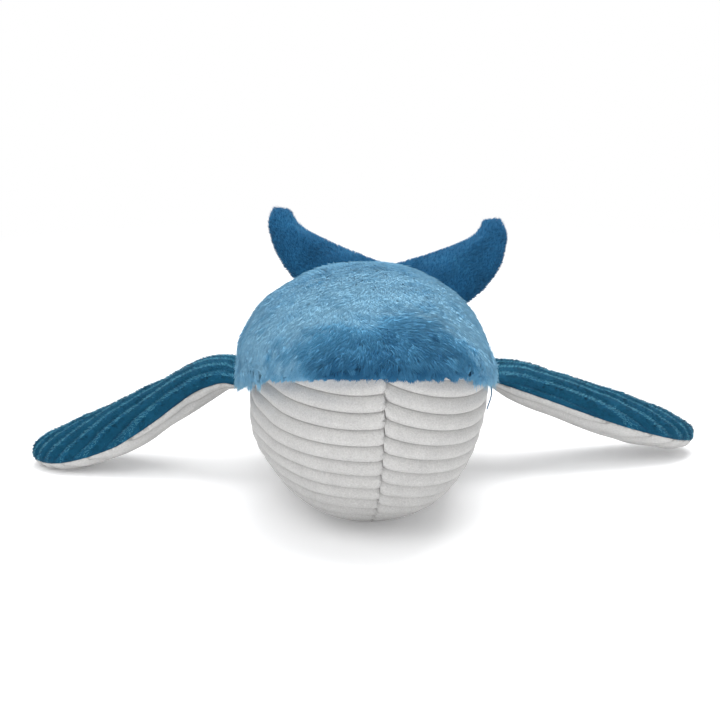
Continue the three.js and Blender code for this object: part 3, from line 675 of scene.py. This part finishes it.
def inflate(name, top, low, pinned, closed=False):
    # blows the two cloths up as one closed bag whose first rows are held, then reads them back
    upper, lower = joinGrids(top, closed)
    n, m = upper.shape
    cells = bagCells(upper, lower, closed)
    used, compact = np.unique(cells, return_inverse=True)
    compact = compact.reshape(-1, 3)
    every = np.concatenate([top.reshape(-1, 3), low.reshape(-1, 3)])
    # the pressure acts along the faces' normals, so they have to point out of the bag: its
    # volume is above 0
    a, b, c = (every[cells[:, k]] - every[0] for k in range(3))
    if (a * np.cross(b, c)).sum() < 0:
        compact = compact[:, ::-1]
    start = every[used]
    bag = makeMesh(name + "_bag", start, compact, weld=False)
    held = bag.vertex_groups.new(name="held")
    heldPoints = np.isin(used, np.concatenate([upper[:pinned].ravel(), lower[:pinned].ravel()]))
    held.add([int(k) for k in np.flatnonzero(heldPoints)], 1.0, "REPLACE")
    moved = runCloth(bag) - start
    far = np.linalg.norm(moved, axis=-1, keepdims=True)
    moved *= np.minimum(1, pillow["cap"] / np.maximum(far, 1e-6))
    every[used] = start + moved
    print(f"  {name}: cloth moved {far.mean():.1f} mm on average, {far.max():.1f} mm at most")
    # what each row did as a whole, fitted as drift + twist * q + fullness * (1 - q^2) and evened
    # out over five rows, is taken off again: the swelling's creases stay on the fitted form
    q = np.sin(np.linspace(-quarterTurn, quarterTurn, m))
    bulge = 1 - q * q
    moved = np.concatenate([every[upper] - top, every[lower] - low], axis=1)
    terms = np.stack([np.ones(2 * m), np.tile(q, 2), np.concatenate([bulge, -bulge])], -1)
    whole = np.einsum("kc,rcd->rkd", np.linalg.pinv(terms), moved)
    wide = np.concatenate([whole[:1]] * 2 + [whole] + [whole[-1:]] * 2)
    whole = np.einsum("ck,rkd->rcd", terms, sum(wide[k:k + n] for k in range(5)) / 5)
    return every[upper] - whole[:, :m], every[lower] - whole[:, m:]


def readGrid(grid, i, j):
    # reads a grid of points between its own points, with cubic pieces both ways
    def weights(t):
        return [-0.5 * t + t * t - 0.5 * t ** 3, 1 - 2.5 * t * t + 1.5 * t ** 3,
                0.5 * t + 2 * t * t - 1.5 * t ** 3, -0.5 * t * t + 0.5 * t ** 3]
    n, m = grid.shape[:2]
    i, j = np.broadcast_arrays(i, j)
    i0 = np.clip(np.floor(i).astype(int), 0, n - 2)
    j0 = np.clip(np.floor(j).astype(int), 0, m - 2)
    wide = np.concatenate([2 * grid[:1] - grid[1:2], grid, 2 * grid[-1:] - grid[-2:-1]])
    first, last = 2 * wide[:, :1] - wide[:, 1:2], 2 * wide[:, -1:] - wide[:, -2:-1]
    wide = np.concatenate([first, wide, last], axis=1)
    total = 0
    for a, wa in enumerate(weights(i - i0)):
        for b, wb in enumerate(weights(j - j0)):
            total = total + wide[i0 + a, j0 + b] * (wa * wb)[..., None]
    return total


def lens(name, outer, middle, values=None):
    # closes an outer sheet with the pillow's middle sheet, which meets it round the edge
    n, m = outer.shape[:2]
    points = np.concatenate([outer.reshape(-1, 3), middle.reshape(-1, 3)])
    parts = [gridTriangles(n, m), gridTriangles(n, m, n * m, True)]
    left, front = np.arange(n) * m, np.arange(m)
    for edge in (left, left + m - 1, front, front + (n - 1) * m):
        parts.append(quads(edge[:-1], edge[1:], edge[1:] + n * m, edge[:-1] + n * m))
    return makeMesh(name, points, np.concatenate(parts), values)


# Fins: the ribs run out along the span and off the leading edge near the tip
fin = {
    "length": 166, "halfChord": 31, "halfThickness": 14.4, "seamRadius": 5, "seamHalfLength": 27,
    "standOff": 0.6, "seamGap": 0.3, "back": 194, "height": 68.1, "pitchShare": 0.6,
    "sweepPower": 1.4, "roundingShare": 0.8, "roundness": 0.55, "raiseShares": (0.08, 0.4),
    "rows": 26, "columns": 17, "fineRows": 150, "marks": 400, "heldRows": 4,
    "chord": ([0, 0.12, 0.35, 0.6, 0.8, 1], [0.87, 0.92, 0.98, 1, 0.96, 0.86]),
    "thickness": ([0, 0.12, 0.35, 0.6, 0.8, 1], [0.42, 0.84, 0.97, 1.08, 0.92, 0.7]),
    "ribLift": 0.7, "crestPower": 2.3, "wave": 0.35, "waveSize": 30, "edgePinch": 3,
    "thinnest": 1.2, "floor": 0.1,
    "left": {"sweep": -12, "pitch": -10, "raise": 3.4, "ribDrift": 46,
             "ribStart": {1: 0.35, -1: 0.8},
             "droop": ([0, 0.25, 0.5, 0.75, 1], [2, 28, 31, 18, 7])},
    "right": {"sweep": 11, "pitch": 1, "raise": 0, "ribDrift": 38,
              "ribStart": {1: 0.6, -1: 0.75},
              "droop": ([0, 0.25, 0.5, 0.75, 1], [18, 22, 22, 18, 18])},
}


def finSeat(side):
    # the seam line lies along the body's flank: how far it turns in plan, and how far out it is
    def flank(y):
        return body["halfWidth"] * widthShareAt(np.float64(y), 0) + side * asideAt(y)
    reach = fin["seamHalfLength"]
    drawIn = flank(fin["back"] - reach) - flank(fin["back"] + reach)
    out = flank(fin["back"]) + fin["standOff"] + fin["seamGap"] + fin["seamRadius"]
    return np.arctan(drawIn / (reach * 2)), out


def finSpan(rows):
    # the round shoulder seam first, then places along the span, closer together at the tip
    seam = np.linspace(0, quarterTurn, 4)[:-1]
    place = np.concatenate([seam * 0, np.sin(np.linspace(0, quarterTurn, rows))])
    ahead = np.concatenate([np.cos(seam), np.zeros(rows)]) * fin["seamRadius"]
    full = np.concatenate([np.sin(seam), np.ones(rows)])
    return place[:, None], ahead[:, None], full[:, None]


def roundingAt(place, kind):
    # 1 along the span, and down to 0 at the tip as a quarter of an ellipse
    past = np.clip((place - kind["roundingShare"]) / (1 - kind["roundingShare"]), 0, 1)
    return np.sqrt(1 - past ** 2)


def finChord(place):
    # half the chord goes through stations along the span and is rounded off at the tip
    return fin["halfChord"] * follow(place, *fin["chord"]) * roundingAt(place, fin)


def finPoints(side, kind, place, ahead, q, face, full):
    # place runs from the shoulder seam to the tip and q from the leading to the trailing edge;
    # the middle line droops, the chord pitches, and the thickness is a flattened ellipse
    thick = fin["halfThickness"] * follow(place, *fin["thickness"])
    thick = thick * np.sqrt(roundingAt(place, fin)) * full
    across = q * finChord(place)
    rise = face * thick * np.maximum(1 - q * q, 0) ** fin["roundness"]
    marks = np.linspace(0, 1, fin["marks"])
    lean = np.radians(follow(marks, *kind["droop"]))
    step = fin["length"] / (fin["marks"] - 1)
    alongX, alongZ = (np.concatenate([[0], np.cumsum((v[1:] + v[:-1]) / 2 * step)])
                      for v in (np.cos(lean), -np.sin(lean)))
    pitch = np.radians(kind["pitch"]) * fade(place / fin["pitchShare"])
    leanHere = np.radians(follow(place, *kind["droop"]))
    back = kind["sweep"] * place ** fin["sweepPower"]
    back = back + across * np.cos(pitch) + rise * np.sin(pitch)
    up = rise * np.cos(pitch) - across * np.sin(pitch)
    x = np.interp(place, marks, alongX) - ahead + up * np.sin(leanHere)
    first, last = fin["raiseShares"]
    raised = kind["raise"] * (1 - fade(place / last)) * fade(place / first)
    z = np.interp(place, marks, alongZ) + up * np.cos(leanHere) + raised
    angle, out = finSeat(side)
    px, py = x * np.cos(angle) - back * np.sin(angle), x * np.sin(angle) + back * np.cos(angle)
    return np.stack([side * (px + out), py + fin["back"], z + fin["height"]], -1)


def makeFin(side, word):
    # each cloth's columns follow the ribs: a column is so many ribs from the middle line, drifts
    # towards the trailing edge with the cube of the span, and stops at the edge
    kind = fin[word]
    place, ahead, full = finSpan(fin["rows"])
    q = np.sin(np.linspace(-quarterTurn, quarterTurn, fin["columns"]))[None, :]
    top = finPoints(side, kind, place, ahead, q, 1, full)
    low = finPoints(side, kind, place, ahead, q, -1, full)
    top, low = inflate(f"fin_{word}", top, low, fin["heldRows"], True)
    i = np.linspace(0, len(place) - 1, fin["fineRows"])[:, None]
    fine = np.interp(i, np.arange(len(place)), place[:, 0])
    chord = np.maximum(finChord(fine), 1e-3)
    drift = kind["ribDrift"] * fine ** 3
    reach = (fin["halfChord"] + kind["ribDrift"]) / cord["pitch"] + 1
    lines = ribLines(-reach, reach)
    pieces = []
    for face, sheet, name, slotName, nodes in (
        (1, top, f"fin_cord_{word}", "teal_ribbed_cord", (f"fin_{word}_top", f"fin_{word}_filling")),
        (-1, low, f"fin_lining_{word}", "white_ribbed_cord", (f"fin_{word}_underside",)),
    ):
        start = kind["ribStart"][face]
        distance = (lines[None, :] + start) * cord["pitch"] - drift
        share = np.clip(distance / chord, -1, 1)
        j = (np.arcsin(share) / quarterTurn + 1) / 2 * (fin["columns"] - 1)
        points, middle = readGrid(sheet, i, j), readGrid((top + low) / 2, i, j)
        phase = (np.clip(distance, -chord, chord) + drift) / cord["pitch"] - start
        edge = np.minimum(np.abs(distance - chord), np.abs(distance + chord))
        edge = np.minimum(edge, (1 - fine) * fin["length"] * 0.8)
        edge = np.where(np.abs(distance) > chord, 0, edge)
        pinch = fade(edge / fin["edgePinch"]) * fade((i - 2) / 6)
        out = unit(points - middle)
        groove = cord["finDepth"] * (1 - crestOf(phase, fin["crestPower"]))
        wave = fin["wave"] * ripples(points, fin["waveSize"], 41)
        lift = (fin["ribLift"] - groove + wave) * pinch
        thin = np.linalg.norm(points - middle, axis=-1) <= fin["thinnest"]
        points = points + out * np.where(thin, 0, lift)[..., None]
        for sheetPoints in (points, middle):
            sheetPoints[..., 2] = np.maximum(sheetPoints[..., 2], fin["floor"])
        inner = middle + out * 0.1 * (edge > 0)[..., None]
        # the rib attribute gives the painted shade in the grooves and the painted highlight on top
        piece = lens(name, points, inner, {"ribShading": crestOf(phase, 1)})
        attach(piece, f"fin_{word}")
        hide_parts(*nodes)
        pieces.append(piece)
        if face > 0:
            pieces.append(growRibPile(f"fin_pile_{word}", points, out, phase, side))
    return pieces


def varied(kind, length, dice):
    # each strand's own length, stand and width
    amount = kind["strands"]
    return (length * dice.uniform(0.7, 1.25, amount), kind["stand"] + dice.normal(0, 0.08, amount),
            kind["width"] * dice.uniform(0.8, 1.2, amount))


# The short pile of the teal cord is shaded as if it leaned off each rib to both sides: a painted
# highlight runs along a parting on top, the pile ahead of the parting gets painted shade, darkest
# beside it, the pile behind it gets painted light, and the grooves get painted shade.
ribPile = {"strands": 16000, "length": 2.3, "width": 0.3, "stand": 0.62, "tuft": 2.2,
           "gather": 0.3, "lean": 0.2, "grooveLength": 0.6, "standRange": (0.3, 0.95),
           "swirl": 0.5, "ownSwirl": 0.35, "ahead": 0.42, "aheadPower": 1.6, "behind": 0.36,
           "partingHighlight": 0.85, "partingHalf": 0.035, "partingFade": 0.04, "groove": 0.12, "wave": 0.1}


def growRibPile(name, points, out, phase, side):
    dice = np.random.default_rng(80 + (side > 0))
    amount = ribPile["strands"]
    i, j, s, t, roots, normal = scatter(points, out, amount, dice)
    here = phase[i, j] + (phase[i + 1, j] - phase[i, j]) * s + (phase[i, j + 1] - phase[i, j]) * t
    share, top = here - np.floor(here), crestOf(here, fin["crestPower"])
    swirl = ribPile["swirl"] * ripples(roots, 22, 71) + dice.normal(0, ribPile["ownSwirl"], amount)
    lay = turned(unit(points[i + 1, j] - points[i, j]), normal, swirl)
    length, stand, width = varied(ribPile, ribPile["length"], dice)
    length = length * mix(ribPile["grooveLength"], 1, top)
    stand = np.clip(stand, *ribPile["standRange"])
    # painted shade ahead of the parting and painted light behind it
    shade = np.where(share < 0.5, ribPile["ahead"] * (share * 2) ** ribPile["aheadPower"],
                     -ribPile["behind"] * (2 - share * 2))
    partingHighlight = (np.abs(share - 0.5) - ribPile["partingHalf"]) / ribPile["partingFade"]
    # painted shade in the grooves and a painted highlight along the parting
    tones = ribPile["wave"] * ripples(roots, 18, 72) - shade - ribPile["groove"] * (1 - top)
    tones = tones + ribPile["partingHighlight"] * (1 - fade(partingHighlight))
    piece = spikes(name, roots, lay, normal, length, width, stand, ribPile["tuft"],
                   ribPile["gather"], ribPile["lean"], dice, tones, False)
    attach(piece, name.replace("pile_", ""))
    return piece


# Flukes: two lobes that curve up to blunt, tufted tips, with the pair lying a little askew
fluke = {
    "halfSpan": 100, "length": 97, "halfThickness": 9.5, "seamRadius": 5.4, "slant": 54,
    "height": 60, "tilt": 0.069, "halfGap": 0.15, "roundingShare": 0.92, "roundness": 0.55,
    "places": [0, 0.25, 0.5, 0.75, 1],
    "leadAcross": [0, 0.3, 0.66, 0.89, 1], "leadAlong": [0, 0.05, 0.24, 0.53, 0.9],
    "trailAcross": [0, 0.25, 0.5, 0.71, 0.82], "trailAlong": [0.49, 0.59, 0.7, 0.825, 1],
    "thickness": [1, 1.04, 1, 0.84, 0.58], "rows": 18, "columns": 15, "fineRows": 70,
    "fineColumns": 60, "wave": 0.4, "waveSize": 24,
}


def flukePoints(side, place, q, face):
    # place runs from the middle of the pair to the lobe's tip, q from its leading to its trailing
    # edge; both edges go through stations, and the thickness is a flattened ellipse
    def through(size, stations):
        return size * follow(place, fluke["places"], fluke[stations])
    leadX, trailX = (through(fluke["halfSpan"], name) for name in ("leadAcross", "trailAcross"))
    leadY, trailY = (through(fluke["length"], name) for name in ("leadAlong", "trailAlong"))
    cap = roundingAt(place, fluke)
    x = (leadX + trailX) / 2 + (trailX - leadX) / 2 * cap * q
    x = np.maximum(x, 0) + fluke["halfGap"]
    y = (leadY + trailY) / 2 + (trailY - leadY) / 2 * cap * q
    y = y - fluke["seamRadius"] - side * fluke["tilt"] * x
    thick = through(fluke["halfThickness"], "thickness") * np.sqrt(cap)
    rise = face * thick * np.maximum(1 - q * q, 0) ** fluke["roundness"]
    slant = np.radians(fluke["slant"])
    start = body["length"] + body["seamGap"] + fluke["seamRadius"]
    return np.stack([side * x + asideAt(np.float64(body["length"])),
                     start + y * np.cos(slant) - rise * np.sin(slant),
                     fluke["height"] + y * np.sin(slant) + rise * np.cos(slant)], -1)


def makeFluke(side, word):
    # each cloth is read on a finer grid, waved a little and closed with the pillow's middle
    place = np.sin(np.linspace(0, quarterTurn, fluke["rows"]))[:, None]
    q = np.sin(np.linspace(-quarterTurn, quarterTurn, fluke["columns"]))[None, :]
    top, low = flukePoints(side, place, q, 1), flukePoints(side, place, q, -1)
    top, low = inflate(f"fluke_{word}", top, low, 1)
    lastRow, lastColumn = fluke["rows"] - 1, fluke["columns"] - 1
    i = np.linspace(0, lastRow, fluke["fineRows"])[:, None]
    j = np.linspace(0, lastColumn, fluke["fineColumns"])[None, :]
    edge = np.minimum(np.minimum(j, lastColumn - j), (lastRow - i) * 0.7)
    pieces = []
    for face, sheet, name, nodes in (
        (1, top, f"fluke_plush_{word}", (f"fluke_{word}_top", f"fluke_{word}_filling")),
        (-1, low, f"fluke_lining_{word}", (f"fluke_{word}_underside",)),
    ):
        points, middle = readGrid(sheet, i, j), readGrid((top + low) / 2, i, j)
        out = unit(points - middle)
        lift = fluke["wave"] * ripples(points, fluke["waveSize"], 51) * fade(edge / 2)
        points = points + out * lift[..., None]
        piece = lens(name, points, middle + out * 0.1 * (edge > 0.01)[..., None])
        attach(piece, "flukes")
        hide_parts(*nodes)
        pieces.append(piece)
        half, seed = "top" if face > 0 else "low", 60 + 2 * (side > 0) + (face > 0)
        pieces.append(growNap(f"fluke_nap_{word}_{half}", points, out, seed))
    return pieces


nap = {"strands": 13500, "length": 3.4, "tipLength": 5.0, "width": 0.34, "stand": 0.5,
       "standRange": (0.2, 0.9), "tuft": 2.6, "gather": 0.4, "lean": 0.22, "swirl": 0.4,
       "ownSwirl": 0.2, "across": 0.35, "tipFrom": 0.82, "tipFade": 0.15, "tipDraw": 1.5,
       "wave": 0.12}


def growNap(name, points, out, seed):
    # short pile over a grid of points, lying towards the tip and longer there
    dice = np.random.default_rng(seed)
    amount = nap["strands"]
    i, j, _, _, roots, normal = scatter(points, out, amount, dice)
    tipward = fade((i / (len(points) - 1) - nap["tipFrom"]) / nap["tipFade"])
    along, across = unit(points[i + 1, j] - points[i, j]), unit(points[i, j + 1] - points[i, j])
    lay = unit(along + (1 - tipward[:, None]) * nap["across"] * across)
    swirl = nap["swirl"] * ripples(roots, 30, 61) + dice.normal(0, nap["ownSwirl"], amount)
    lay = turned(lay, normal, swirl)
    lay = unit(lay + tipward[:, None] * nap["tipDraw"] * unit(points[-1, 0] - points[-20, 30]))
    length = mix(nap["length"], nap["tipLength"], tipward)
    length, stand, width = varied(nap, length, dice)
    stand = np.clip(stand, *nap["standRange"]) * mix(1, 0.5, tipward)
    tones = nap["wave"] * ripples(roots, 28, 62)
    piece = spikes(name, roots, lay, normal, length, width, stand, nap["tuft"], nap["gather"],
                   nap["lean"], dice, tones, False)
    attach(piece, "flukes")
    return piece


# Colours and materials
def srgb(r, g, b):
    # colour values as a picture gives them, turned into the renderer's linear ones
    c = np.array([r, g, b]) / 255
    return tuple(np.where(c <= 0.04045, c / 12.92, ((c + 0.055) / 1.055) ** 2.4)) + (1,)


def grey(shade):
    return (shade, shade, shade, 1)


def newMaterial(name):
    material = bpy.data.materials.new(name)
    material.use_nodes = True
    nodes, links = material.node_tree.nodes, material.node_tree.links
    return material, nodes, links, nodes["Principled BSDF"]


def setInputs(node, values):
    for name, value in values.items():
        node.inputs[name].default_value = value


def feed(links, values, sockets):
    # links what is another node's output, and sets what is a plain value
    for value, socket in zip(values, sockets):
        if hasattr(value, "is_output"):
            links.new(value, socket)
        else:
            socket.default_value = value


def ramp(nodes, links, factor, stops):
    # the first two stops are the ramp's own ends, and the others come in between
    node = nodes.new("ShaderNodeValToRGB")
    links.new(factor, node.inputs["Fac"])
    elements = node.color_ramp.elements
    for k, (place, colour) in enumerate(stops):
        element = elements[k] if k < 2 else elements.new(place)
        element.position, element.color = place, colour
    return node.outputs["Color"]


def blendColours(nodes, links, factor, a, b, mode="MIX"):
    node = nodes.new("ShaderNodeMix")
    node.data_type, node.blend_type = "RGBA", mode
    feed(links, (factor, a, b), (node.inputs[0], node.inputs[6], node.inputs[7]))
    return node.outputs[2]


def makeNapGroup():
    # short pile: fine grain, soft blotches where the pile lies another way, and a height for bump
    group = bpy.data.node_groups.new("clothNap", "ShaderNodeTree")
    face = group.interface
    for name, value in (("Grain Size", 0.9), ("Blotch Size", 14.0), ("Contrast", 1.0)):
        socket = face.new_socket(name, in_out="INPUT", socket_type="NodeSocketFloat")
        socket.default_value = value
    for name in ("Grain", "Blotch", "Height"):
        face.new_socket(name, in_out="OUTPUT", socket_type="NodeSocketFloat")
    nodes, links = group.nodes, group.links
    given, result = nodes.new("NodeGroupInput"), nodes.new("NodeGroupOutput")
    place = nodes.new("ShaderNodeTexCoord").outputs["Object"]

    def math(operation, a, b):
        node = nodes.new("ShaderNodeMath")
        node.operation = operation
        feed(links, (a, b), node.inputs)
        return node.outputs[0]

    outputs = []
    for name, detail in (("Grain", 3), ("Blotch", 4)):
        noise = nodes.new("ShaderNodeTexNoise")
        setInputs(noise, {"Detail": detail, "Roughness": 0.6})
        links.new(place, noise.inputs["Vector"])
        links.new(math("DIVIDE", 1000.0, given.outputs[name + " Size"]), noise.inputs["Scale"])
        centred = math("SUBTRACT", noise.outputs["Fac"], 0.5)
        outputs.append(math("ADD", math("MULTIPLY", centred, given.outputs["Contrast"]), 0.5))
        links.new(outputs[-1], result.inputs[name])
    grain, blotch = math("MULTIPLY", outputs[0], 0.7), math("MULTIPLY", outputs[1], 0.3)
    links.new(math("ADD", grain, blotch), result.inputs["Height"])
    return group


napGroup = makeNapGroup()


def napNode(nodes, sizes):
    effect = nodes.new("ShaderNodeGroup")
    effect.node_tree = napGroup
    setInputs(effect, sizes)
    return effect


def pileMaterial(name, dark, middle, light, deep, tip, rough, sheen):
    # the spikes' own map gives tone across and height up, and the colour follows these two; along
    # the height, painted shade darkens each hair's root and painted light brightens its tip
    material, nodes, links, shader = newMaterial(name)
    own = nodes.new("ShaderNodeUVMap")
    own.uv_map = "OFBake"
    parts = nodes.new("ShaderNodeSeparateXYZ")
    links.new(own.outputs["UV"], parts.inputs[0])
    base = ramp(nodes, links, parts.outputs["X"], [(0.0, dark), (1.0, light), (0.5, middle)])
    # painted shade at the root of each hair and painted light at its tip
    shade = ramp(nodes, links, parts.outputs["Y"],
                 [(0.0, grey(deep)), (1.0, grey(tip)), (0.5, grey((deep + tip) / 2))])
    colour = blendColours(nodes, links, 1.0, base, shade, "MULTIPLY")
    links.new(colour, shader.inputs["Base Color"])
    setInputs(shader, {"Roughness": rough, "Specular IOR Level": 0.12, "Sheen Weight": sheen,
                       "Sheen Roughness": 0.4})
    return material


def clothMaterial(name, low, high, grain, blotch, contrast, bump, rough=0.95, sheen=0.05,
                  ribs=None):
    # cloth with a short pile; ribs are stops of painted shade and painted highlight over the rib
    # attribute, 0 in a groove and 1 on top
    material, nodes, links, shader = newMaterial(name)
    effect = napNode(nodes, {"Grain Size": grain, "Blotch Size": blotch, "Contrast": contrast})
    base = blendColours(nodes, links, effect.outputs["Blotch"], low, high)
    speckle = ramp(nodes, links, effect.outputs["Grain"], [(0.25, grey(0.86)), (0.8, grey(1.08))])
    colour = blendColours(nodes, links, 1.0, base, speckle, "MULTIPLY")
    if ribs:
        rib = nodes.new("ShaderNodeAttribute")
        rib.attribute_name = "ribShading"
        shade = ramp(nodes, links, rib.outputs["Fac"], ribs)
        colour = blendColours(nodes, links, 1.0, colour, shade, "MULTIPLY")
    links.new(colour, shader.inputs["Base Color"])
    relief = nodes.new("ShaderNodeBump")
    setInputs(relief, {"Strength": 1.0, "Distance": bump / 1000})
    links.new(effect.outputs["Height"], relief.inputs["Height"])
    links.new(relief.outputs["Normal"], shader.inputs["Normal"])
    setInputs(shader, {"Roughness": rough, "Specular IOR Level": 0.2, "Sheen Weight": sheen,
                       "Sheen Roughness": 0.45})
    return material


def plasticMaterial(name, colour, rough, grain):
    # faint blotches in the colour and a fine grain in the gloss
    material, nodes, links, shader = newMaterial(name)
    effect = napNode(nodes, {"Grain Size": grain, "Blotch Size": 4})
    low = tuple(v * 0.85 for v in colour[:3]) + (1,)
    base = blendColours(nodes, links, effect.outputs["Blotch"], low, colour)
    links.new(base, shader.inputs["Base Color"])
    gloss = ramp(nodes, links, effect.outputs["Grain"],
                 [(0.3, grey(rough)), (0.8, grey(rough + 0.06))])
    links.new(gloss, shader.inputs["Roughness"])
    return material


# deep is the painted shade at the roots of the hairs and tip the painted light at their tips
furBlue = pileMaterial("long_blue_fur", srgb(50, 114, 158), srgb(98, 170, 212),
                       srgb(158, 211, 239), deep=0.6, tip=1.06, rough=0.62, sheen=0.03)
napBlue = pileMaterial("short_blue_pile", srgb(24, 84, 124), srgb(32, 100, 144),
                       srgb(52, 126, 170), deep=0.6, tip=1.05, rough=0.65, sheen=0.05)
tealPile = pileMaterial("teal_pile", srgb(2, 50, 72), srgb(17, 96, 124), srgb(92, 164, 190),
                        deep=0.75, tip=1.1, rough=0.7, sheen=0.04)
skinBlue = clothMaterial("fur_backing", srgb(62, 118, 160), srgb(82, 142, 184),
                         grain=0.8, blotch=12, contrast=1, bump=0.4)
flukeBlue = clothMaterial("fluke_backing", srgb(22, 76, 114), srgb(32, 94, 136),
                          grain=0.8, blotch=12, contrast=1, bump=0.4)
# painted shade in the white cord's grooves and a faint painted highlight on the ribs' tops
whiteRibShading = [(0, grey(0.5)), (1, grey(1.02)), (0.07, grey(0.86)), (0.25, grey(0.97))]
whiteCord = clothMaterial("white_cord", srgb(195, 194, 193), srgb(209, 208, 206), grain=1.0,
                          blotch=14, contrast=1.5, bump=0.7, rough=0.9, sheen=0.1, ribs=whiteRibShading)
# painted highlight: a light line runs along each rib of the teal cord, where its pile parts, and
# painted shade darkens its grooves
tealRibShading = [(0, (0.5, 0.55, 0.6, 1)), (1, (2.6, 2.1, 1.8, 1)), (0.15, grey(0.85)), (0.9, grey(1))]
tealCord = clothMaterial("teal_cord", srgb(8, 70, 100), srgb(14, 88, 120), grain=0.9, blotch=10,
                         contrast=1.3, bump=0.5, rough=0.9, ribs=tealRibShading)
eyeBlack = plasticMaterial("eye_black", srgb(14, 14, 16), rough=0.08, grain=3)
washerWhite = plasticMaterial("washer_white", srgb(222, 222, 216), rough=0.5, grain=1)


def dress(pieces, material):
    for piece in pieces if isinstance(pieces, list) else [pieces]:
        piece.data.materials.clear()
        piece.data.materials.append(material)


# Everything is made here, left side first.
for side, word in ((-1, "left"), (1, "right")):
    dress(makeBacking(side, word), skinBlue)
    bellyPiece = makeBelly(side, word)
    dress(bellyPiece, whiteCord)
    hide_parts("torso_stuffing", "tail_stuffing")
    dress(makeFur(side, word), furBlue)
    dress(makeEye(side, word), eyeBlack)
    print(f"body {word} done")
    finCloths = {"cord": tealCord, "pile": tealPile, "lining": whiteCord}
    for piece in makeFin(side, word):
        dress(piece, finCloths[piece.name.split("_")[1]])
    for piece in makeFluke(side, word):
        dress(piece, napBlue if "nap" in piece.name else flukeBlue)
    dress(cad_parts[f"eye_washer_{word}"], washerWhite)
    print(f"fin and fluke {word} done")

dress(makeThread(), flukeBlue)

# Floor, backdrop and light
studio = {"floorSize": 14, "floorColour": (0.95, 0.95, 0.955, 1), "glow": 0.2, "nearWhite": 0.32,
          "farWhite": 0.9, "world": 0.5}


def mixShaders(nodes, links, share, a, b):
    node = nodes.new("ShaderNodeMixShader")
    feed(links, (share, a, b), node.inputs)
    return node.outputs[0]


def seenStraight(nodes, links):
    # 1 for what the camera, gloss and glass see, and 0 for the light that reaches other things
    path = nodes.new("ShaderNodeLightPath")
    seen = path.outputs["Is Camera Ray"]
    for other in ("Is Glossy Ray", "Is Transmission Ray"):
        largest = nodes.new("ShaderNodeMath")
        largest.operation = "MAXIMUM"
        feed(links, (seen, path.outputs[other]), largest.inputs)
        seen = largest.outputs[0]
    return seen


def makeWorld():
    # white where it is seen, and a soft light for the rest
    world = bpy.data.worlds.new("studio")
    scene.world = world
    world.use_nodes = True
    nodes, links = world.node_tree.nodes, world.node_tree.links
    lit, white = nodes["Background"], nodes.new("ShaderNodeBackground")
    setInputs(lit, {"Color": (0.98, 0.99, 1, 1), "Strength": studio["world"]})
    setInputs(white, {"Color": grey(1), "Strength": 1})
    seen = seenStraight(nodes, links)
    both = mixShaders(nodes, links, seen, lit.outputs[0], white.outputs[0])
    links.new(both, nodes["World Output"].inputs["Surface"])


def makeFloor():
    size = studio["floorSize"] / 2
    corners = [(-size, -size, 0), (size, -size, 0), (size, size, 0), (-size, size, 0)]
    mesh = bpy.data.meshes.new("floor")
    mesh.from_pydata(corners, [], [(0, 1, 2, 3)])
    floor = addObject("floor", mesh)
    material, nodes, links, shader = newMaterial("floor")
    setInputs(shader, {"Base Color": studio["floorColour"], "Roughness": 0.9,
                       "Specular IOR Level": 0.1})
    glow, white = nodes.new("ShaderNodeEmission"), nodes.new("ShaderNodeEmission")
    setInputs(glow, {"Color": grey(1), "Strength": studio["glow"]})
    setInputs(white, {"Color": grey(1)})
    total = nodes.new("ShaderNodeAddShader")
    feed(links, (shader.outputs[0], glow.outputs[0]), total.inputs)
    # away from the toy the floor is plain white, as the photograph's background is
    length = nodes.new("ShaderNodeVectorMath")
    length.operation = "LENGTH"
    links.new(nodes.new("ShaderNodeTexCoord").outputs["Object"], length.inputs[0])
    away = nodes.new("ShaderNodeMapRange")
    away.interpolation_type = "SMOOTHSTEP"
    setInputs(away, {"From Min": studio["nearWhite"], "From Max": studio["farWhite"]})
    links.new(length.outputs["Value"], away.inputs["Value"])
    shown = mixShaders(nodes, links, away.outputs["Result"], total.outputs[0], white.outputs[0])
    both = mixShaders(nodes, links, seenStraight(nodes, links), shader.outputs[0], shown)
    links.new(both, nodes["Material Output"].inputs["Surface"])
    dress(floor, material)


def makeLamps():
    # place and target in metres, the lamp's width in metres, and its power in watts
    for name, place, target, width, power in (
        ("key", (-0.9, -1.3, 1.9), (0, 0, 0.05), 1.6, 18),
        ("fill", (0.2, -1.9, 0.15), (0, 0, 0.04), 1.2, 10.5),
        ("top", (0.2, 0.35, 1.9), (0, 0, 0.05), 1.6, 38),
    ):
        data = bpy.data.lights.new(name, "AREA")
        data.size, data.energy = width, power
        lamp = addObject(name, data)
        lamp.location = place
        way = Vector(target) - Vector(place)
        lamp.rotation_euler = way.to_track_quat("-Z", "Y").to_euler()


makeWorld()
makeFloor()
makeLamps()
print("studio done")
